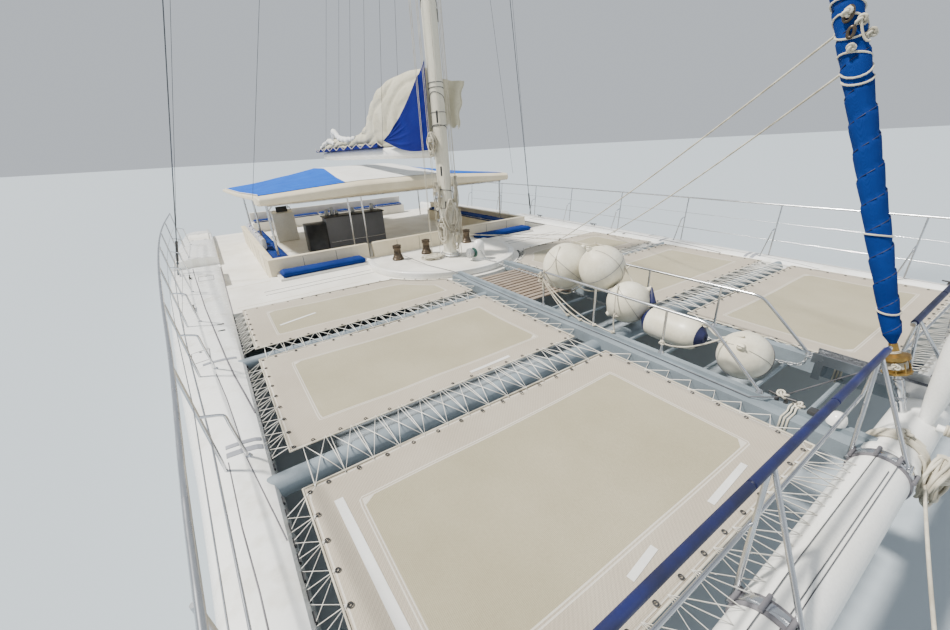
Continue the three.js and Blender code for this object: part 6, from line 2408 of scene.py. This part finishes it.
def make_wheel():
    x, y, z = HELM
    bpy.ops.object.select_all(action="DESELECT")
    bpy.ops.mesh.primitive_torus_add(major_segments=72, minor_segments=14, major_radius=0.43,
                                     minor_radius=0.016, location=HELM, rotation=(0, math.pi / 2, 0))
    rim = settle(bpy.context.object)
    smooth(rim, 60)
    parts = [rim]
    for spoke in range(5):
        a = math.tau * spoke / 5 + math.pi / 2
        parts.append(rod([(x + 0.01, y + 0.03 * math.cos(a), z + 0.03 * math.sin(a)),
                          (x - 0.012, y + 0.22 * math.cos(a), z + 0.22 * math.sin(a)),
                          (x, y + 0.425 * math.cos(a), z + 0.425 * math.sin(a))], 0.009, sides=12, bent=True))
    parts.append(drum((x - 0.03, y, z), (x + 0.118, y, z), 0.036, sides=32, soft=0.006))
    parts.append(drum((x - 0.042, y, z), (x - 0.02, y, z), 0.05, sides=32, end_radius=0.055, soft=0.005))
    return join("steering_wheel_rim_and_spokes", parts)


wheel = make_wheel()
finish(wheel, stainless, "steering_wheel", hides=["steering_wheel"])


def make_helm_fittings():
    steel, dark = [], []
    for y in (-3.0, -2.75, -2.5):
        dark.append(drum((-7.0, y, 2.355 + 0.01), (-6.98, y, 2.385), 0.045, sides=24, soft=0.005))
    dark.append(lump((-6.80, -2.95, 2.36), (-6.70, -2.55, 2.56), soft=0.02))
    for y in (-2.46, -2.40):
        steel.append(rod([(-7.02, y, 2.33), (-7.05, y, 2.42), (-7.10, y, 2.47)], 0.008, sides=8, bent=True))
        dark.append(drum((-7.10, y - 0.02, 2.47), (-7.10, y + 0.02, 2.47), 0.016, sides=16, soft=0.004))
    return join("helm_levers", steel), join("helm_instruments", dark)


helm_steel, helm_dark = make_helm_fittings()
finish(helm_steel, stainless)
finish(helm_dark, black_plastic_and_slot_shade)
print(count(wheel))

# %% [markdown]
# Ahead of the platform a teak grating crosses the walkway, and beyond it are only rungs. Each slat is a plank
# with eased edges and its own grain, a shade different from its neighbour, screwed down at both ends.

# %% Grating
def make_grating():
    slats = []
    top = 1.5913
    rng = random.Random(4)
    for i in range(13):
        x = 3.30 + i * (1.74 - 0.095) / 12
        slat = lump((x, -0.6195, top - 0.036), (x + 0.095, 0.6195, top - rng.uniform(0, 0.003)), "slat",
                    0.006)
        slats.append(slat)
    for y in (-0.48, 0.48):
        slats.append(lump((3.30, y - 0.04, 1.4955), (5.04, y + 0.04, 1.5545), "bearer", 0.005))
    return join("teak_grating", slats)


grating = make_grating()
finish(grating, teak, hides=["walkway_grating"])
screws = []
for i in range(13):
    x = 3.30 + i * (1.74 - 0.095) / 12 + 0.0475
    for y in (-0.48, 0.48):
        screws.append(drum((x, y, 1.588), (x, y, 1.5935), 0.009, sides=10))
screws = join("grating_screws", screws)
finish(screws, stainless)
print(count(grating))

# %% Hatch lids and engines
for side, sign in (("port", 1), ("starboard", -1)):
    lid = copy_of(f"engine_hatch_{side}", f"engine_lid_{side}", 30)
    edit(lid, lambda centre, normal: normal.z > 0.9)
    bpy.ops.mesh.inset(thickness=0.05)
    bpy.ops.mesh.inset(thickness=0.008, depth=-0.006)
    leave_edit()
    apply_modifier(lid, "BEVEL", width=0.010, segments=3, limit_method="ANGLE", angle_limit=0.8)
    smooth(lid, 35)
    finish(lid, deck_paint, f"engine_hatch_{side}", hides=[f"engine_hatch_{side}"])
    hinges = []
    for y in (5.45, 5.87):
        y *= sign
        hinges.append(drum((-8.088, y - 0.05, 1.4903), (-8.088, y + 0.05, 1.4903), 0.014, sides=18))
        hinges.append(lump((-8.20, y - 0.04, 1.5345), (-8.10, y + 0.04, 1.5395), soft=0.002))
    ring = rod([(-9.55, 5.66 * sign - 0.05, 1.54), (-9.58, 5.66 * sign - 0.04, 1.545),
                (-9.58, 5.66 * sign + 0.04, 1.545), (-9.55, 5.66 * sign + 0.05,
                                                     1.54)], 0.005, sides=8, bent=True)
    fittings = join(f"engine_lid_fittings_{side}", hinges + [ring])
    finish(fittings, stainless, f"engine_hatch_{side}")
print(count(lid))

# %% Helper for wound rope
def round_bar(centre, along, radius, length, turns, steps=12):
    """Points of a rope wound round a bar."""
    axis = Vector(along).normalized()
    side = axis.orthogonal().normalized()
    up = axis.cross(side)
    count_of = turns * steps
    return [Vector(centre) + axis * length * (step / count_of - 0.5) +
            (side * math.cos(math.tau * step / steps) + up * math.sin(math.tau * step / steps)) * radius
            for step in range(count_of + 1)]


# %% [markdown]
# Two sheets lead from the headsail's clew to the port side of the deck, through a block each and on to the
# winch. They are tight, with only a slight droop. At the clew sits a dark oval ring with knots, which turns
# with the roll. The two knots that hold the sheets stay with the sheets, so no sheet ends bare when it turns.

# %% Headsail sheets and clew
def drooped(start, end, droop, parts=24):
    a, b = Vector(start), Vector(end)
    return [a.lerp(b, i / parts) - Vector((0, 0, droop * 4 * (i / parts) * (1 - i / parts)))
            for i in range(parts + 1)]


# start on the roll, block on the deck, winch
SHEETS = [((8.50, 0.09, 5.04), (1.71, 3.55, 1.545), (0.27, 1.22, 1.86)),
          ((8.62, 0.09, 4.72), (2.30, 5.02, 1.545), (0.30, 1.28, 1.84))]


def make_sheets():
    lines, blocks = [], []
    for clew, block, winch in SHEETS:
        lines.append(rod(drooped(clew, block,
                                 0.09) + [Vector(block).lerp(Vector(winch), s) for s in (0.5, 1)], 0.011))
        x, y, z = block
        blocks.append(drum((x, y - 0.02, z - 0.01), (x, y + 0.02, z - 0.01), 0.05, sides=24, soft=0.006))
        blocks.append(drum((x, y, 1.478), (x, y, 1.50), 0.045, sides=20, end_radius=0.03))
    return join("headsail_sheets", lines), join("sheet_blocks", blocks)


sheets, sheet_blocks = make_sheets()
finish(sheets, white_rope)
finish(sheet_blocks, black_plastic_and_slot_shade)


# height on the roll, offset along X, share of the radius across, size
CLEW_KNOTS = [(5.13, 0.03, -1, 0.034), (5.06, 0.10, -0.6, 0.040), (4.96, 0.14, -0.2, 0.036),
              (4.86, 0.02, -1, 0.030)]
SHEET_KNOTS = [(5.03, -0.09, 0.55, 0.042), (4.72, -0.06, 0.7, 0.042)]


def knots_on_roll(rows):
    return [knot_at(stay_point(z) + Vector((dx, dy * (roll_radius(z) + 0.03), 0)), size, 0.012,
                    (1.2, z * 3, 0.4)) for z, dx, dy, size in rows]


def make_clew():
    ring, knots = [], knots_on_roll(CLEW_KNOTS)
    for z, size in ((5.12, 0.055), (4.98, 0.04)):
        centre = stay_point(z) + Vector((0.03, -roll_radius(z) - 0.016, 0))
        points = [centre + Vector((size * 0.55 * math.cos(a), 0, size * math.sin(a)))
                  for a in [math.tau * i / 20 for i in range(21)]]
        ring.append(rod(points, 0.014, sides=12))
    knots.append(rod(drooped(stay_point(5.06) + Vector((0.10, -0.10, 0)),
                             stay_point(4.90) + Vector((0.13, -0.06, 0)), 0.05, 8), 0.010))
    return join("clew_ring", ring), join("clew_knots", knots)


clew_ring, clew_knots = make_clew()
finish(clew_ring, dark_bronze, "furler")
finish(clew_knots, white_rope, "furler")
finish(join("headsail_sheet_knots", knots_on_roll(SHEET_KNOTS)), white_rope)
print(count(sheets), "and", count(clew_knots))

# %% [markdown]
# Under the roll the furler's drum is a brass cage with lashings, and its control line runs from it through a
# block and aft on the starboard beam of the walkway. On the port side the anchor's chain lies on the
# platform, the grating and the rungs. One link is made and copied, each a quarter turn from the last.

# %% Furling line and chain
FURLING_LINE = [(9.58, -0.10, 2.11), (9.02, -0.70, 1.70), (8.80, -0.77, 1.613), (7.0, -0.75, 1.612),
                (5.2, -0.79, 1.612), (3.2, -0.76, 1.612), (2.95, -0.75, 1.630), (2.62, -0.76, 1.645),
                (1.7, -0.95, 1.642), (0.80, -1.18, 1.76), (0.67, -1.20, 1.80)]
furling_line = rod(FURLING_LINE, 0.0065, "furling_line")
finish(furling_line, dark_rope)
CHAIN_LINE = [(2.06, 0.18, 1.955), (2.15, 0.25, 1.94), (2.24, 0.33, 1.78), (2.32, 0.38, 1.655),
              (2.62, 0.43, 1.647),
              (2.76, 0.44, 1.62), (3.28, 0.46, 1.610), (5.04, 0.45, 1.610), (5.12, 0.46, 1.56),
              (5.40, 0.47, 1.512),
              (6.20, 0.44, 1.506), (7.10, 0.49, 1.510), (8.20, 0.46, 1.512), (8.80, 0.47, 1.56),
              (8.96, 0.47, 1.735),
              (9.62, 0.47, 1.735)]
LINK = 0.046


def make_chain():
    line = flowing(CHAIN_LINE, 12)
    outline = []
    for step in range(10):
        a = math.tau * step / 10
        outline.append(Vector((0.031 * math.cos(a), 0.018 * math.sin(a), 0)))
    link = rod(outline + outline[:1], 0.0065, sides=4)
    links, travelled, wanted = [], 0.0, 0.0
    for a, b in zip(line, line[1:]):
        gap = (b - a).length
        while wanted <= travelled + gap:
            place = a.lerp(b, (wanted - travelled) / gap)
            turn = (b - a).to_track_quat("X", "Z").to_matrix().to_4x4()
            roll_turn = Matrix.Rotation(math.pi / 2 * (len(links) % 2) + 0.6, 4, "X")
            twin = link.copy()
            twin.data = link.data.copy()
            bpy.context.scene.collection.objects.link(twin)
            twin.data.transform(Matrix.Translation(place) @ turn @ roll_turn)
            links.append(twin)
            wanted += LINK
        travelled += gap
    bpy.data.objects.remove(link)
    return join("anchor_chain", links), travelled


chain, chain_length = make_chain()
finish(chain, galvanised)
print(count(chain), "and", round(chain_length, 2), "m of chain")

# %% Drum lashings and stay fittings
def make_drum_gear():
    lashings, bars, steel = [], [], []
    for low, high, out, turns in ((2.085, 2.15, 0.076, 6), (2.19, 2.25, 0.045, 5)):
        lashings.append(rod(round_bar(stay_point((low + high) / 2), (STAY_RAKE, 0, 1), out, high - low,
                                      turns), 0.006))
    for step in range(9):
        a = math.tau * step / 9
        out = Vector((math.cos(a), math.sin(a), 0)) * 0.104
        bars.append(rod([stay_point(2.064) + out, stay_point(2.17) + out], 0.0055))
    lashings.append(knot_at(stay_point(2.13) + Vector((0.02, -0.10, 0)), 0.030, 0.009, (1.4, 0, 0.3)))
    for dx in (-0.03, 0.03):
        steel.append(rod([stay_point(1.78) + Vector((dx, 0, 0)), stay_point(1.97) + Vector((dx, 0, 0))],
                         0.010))
    steel.append(drum(stay_point(1.765), stay_point(1.80), 0.042, sides=20, soft=0.005))
    steel.append(drum(stay_point(1.955), stay_point(1.985), 0.042, sides=20, soft=0.005))
    return join("drum_lashings", lashings), join("drum_cage", bars), join("stay_turnbuckle", steel)


drum_lashings, drum_cage, turnbuckle = make_drum_gear()
finish(drum_lashings, white_rope, "furler")
finish(drum_cage, bronze, "furler")
finish(turnbuckle, stainless)
print(count(drum_cage))

# %% [markdown]
# On the front beam lie thin control lines, dark clamp bands with bolts hold the rail's legs, and a bundle of
# mooring rope hangs over it by the bowsprit, whose inner end is bound with cord. A bridle goes from the
# middle of the beam to the starboard bow and sags between the two.

# %% Gear on the front beam
def make_beam_gear():
    dark, bands = [], []
    for degrees, start, end in ((66, 0.9, 5.0), (74, 1.1, 5.0), (104, 0.8, 4.4)):
        a = math.radians(degrees)
        for side in (-1, 1):
            x, z = BEAM_X + (BEAM_R + 0.006) * math.cos(a), BEAM_Z + (BEAM_R + 0.006) * math.sin(a)
            dark.append(rod([(x, side * start, z), (x - 0.012, side * (start + end) / 2, z),
                             (x, side * end, z)],
                            0.0032))
    for y in (0.91, 2.98):
        for side in (-1, 1):
            bands.append(drum((BEAM_X, side * y - 0.06, BEAM_Z), (BEAM_X, side * y + 0.06, BEAM_Z),
                              BEAM_R + 0.014, sides=48, soft=0.004))
            for dx, dz in ((-0.20, 0.115), (0.20, 0.10), (-0.06, 0.222), (0.08, 0.215)):
                bands.append(drum((BEAM_X + dx, side * y - 0.07, BEAM_Z + dz), (BEAM_X + dx, side * y + 0.07,
                                  BEAM_Z + dz), 0.014, sides=12))
    return join("beam_lines", dark), join("beam_clamps", bands)


beam_lines, beam_clamps = make_beam_gear()
finish(beam_lines, dark_rope)
finish(beam_clamps, bond_grey_and_groove_shade)

beam_bundle, beam_neck = hang_rope("beam_rope_bundle", (BEAM_X + 0.255, -0.52, 1.66), 0.46, 0.30, 9,
                                   (1, -0.15), 0.013, 144, white_rope)
lashes = [beam_neck, rod(round_bar((BEAM_X, -0.52, BEAM_Z), (0, 1, 0), BEAM_R + 0.016, 0.16, 5, 24), 0.013),
          rod(round_bar((BEAM_X + 0.27, 0, 1.630), (1, 0, 0), 0.046, 0.13, 7), 0.010),
          knot_at((BEAM_X + 0.02, -0.50, BEAM_Z + BEAM_R + 0.045), 0.045, 0.014, (0.2, 0.1, 0.5)),
          knot_at((BEAM_X + 0.27, -0.04, 1.690), 0.032, 0.010, (0.1, 0, 0))]
beam_lashings = join("beam_lashings", lashes)
finish(beam_lashings, white_rope)
bridle = loose_rope("bridle", drooped((BEAM_X + 0.23, -0.60, 1.44), (11.28, -5.30, 1.50), 0.22, 20), 0.012,
                    white_rope, per=4)
print(count(beam_bundle), "and", count(bridle))

# %% [markdown]
# The front end of the walkway carries a cleat, a white nav-light dome and ropes made fast with knots. At the
# handrails' aft end four thin cords fan out from a knot and sweep down to the frame.

# %% Fittings at the walkway's front end
def make_walkway_gear():
    dark, pale, cords = [], [], []
    for side in (-1, 1):
        y = side * 0.66
        dark.append(rod([(8.93, y, 1.715), (9.0, y, 1.705), (9.10, y, 1.705), (9.17, y, 1.715)], 0.015,
                        sides=12, bent=True))
        for dx in (9.01, 9.09):
            dark.append(drum((dx, y, 1.648), (dx, y, 1.705), 0.022, sides=16, end_radius=0.013))
        dark.append(lump((9.28, y - 0.05, 1.65), (9.40, y + 0.05, 1.70), soft=0.012))
        cords.append(knot_at((9.05, y, 1.735), 0.050, 0.011, (0.2, 0.2, 0.9)))
        cords.append(knot_at((9.20, y - 0.02 * side, 1.675), 0.040, 0.010, (0.3, 0, 0)))
        for x in (9.14, 9.17, 9.20):
            cords.append(rod([(x, side * 0.612, 1.655), (x, side * 0.708, 1.660), (x, side * 0.72, 1.608),
                              (x, side * 0.868, 1.608), (x, side * 0.868, 1.432), (x, side * 0.612, 1.432),
                              (x, side * 0.612, 1.655)], 0.009))
    pale.append(spun([(0, 1.65), (0.075, 1.65), (0.078, 1.69), (0.066, 1.735), (0.04, 1.765), (0, 1.775)],
                     (9.50, -0.66), sides=28))
    return join("walkway_cleats", dark), join("walkway_dome", pale), join("walkway_wraps", cords)


walkway_cleats, walkway_dome, walkway_wraps = make_walkway_gear()
finish(walkway_cleats, black_plastic_and_slot_shade)
finish(walkway_dome, white_gelcoat)
finish(walkway_wraps, white_rope)

# end on the frame, droop
FAN = [((6.35, -0.69, 1.665), 0.10), ((6.62, -0.68, 1.665), 0.16), ((6.95, -0.67, 1.665), 0.14),
       ((6.10, -0.70, 1.665), 0.06)]
FAN_KNOT = Vector((5.43, -0.685, 2.19))
for number, (end, droop) in enumerate(FAN):
    loose_rope(f"handrail_cord_{number}", drooped(FAN_KNOT, end, droop, 10), 0.007, white_rope,
               per=3)
fan_knots = [knot_at(FAN_KNOT, 0.05, 0.012, (1.3, 0.2, 0)),
             knot_at(FAN_KNOT - Vector((0, 0, 0.10)), 0.035, 0.009)]
fan_knots += [knot_at(Vector(end) + Vector((0, 0, 0.01)), 0.028, 0.008) for end, _ in FAN]
fan_knots.append(rod(round_bar((5.48, -0.66, 2.02), (0, 0, 1), 0.022, 0.16, 9), 0.007))
fan_knots = join("handrail_knots", fan_knots)
finish(fan_knots, white_rope)
print(count(fan_knots))

# %% [markdown]
# Last, the floor is made the active object and nothing is left selected. The box of the dressed boat has
# to stay inside the CAD box, with a little room for cloth.

# %% The end
only(floor)
bpy.ops.object.select_all(action="DESELECT")
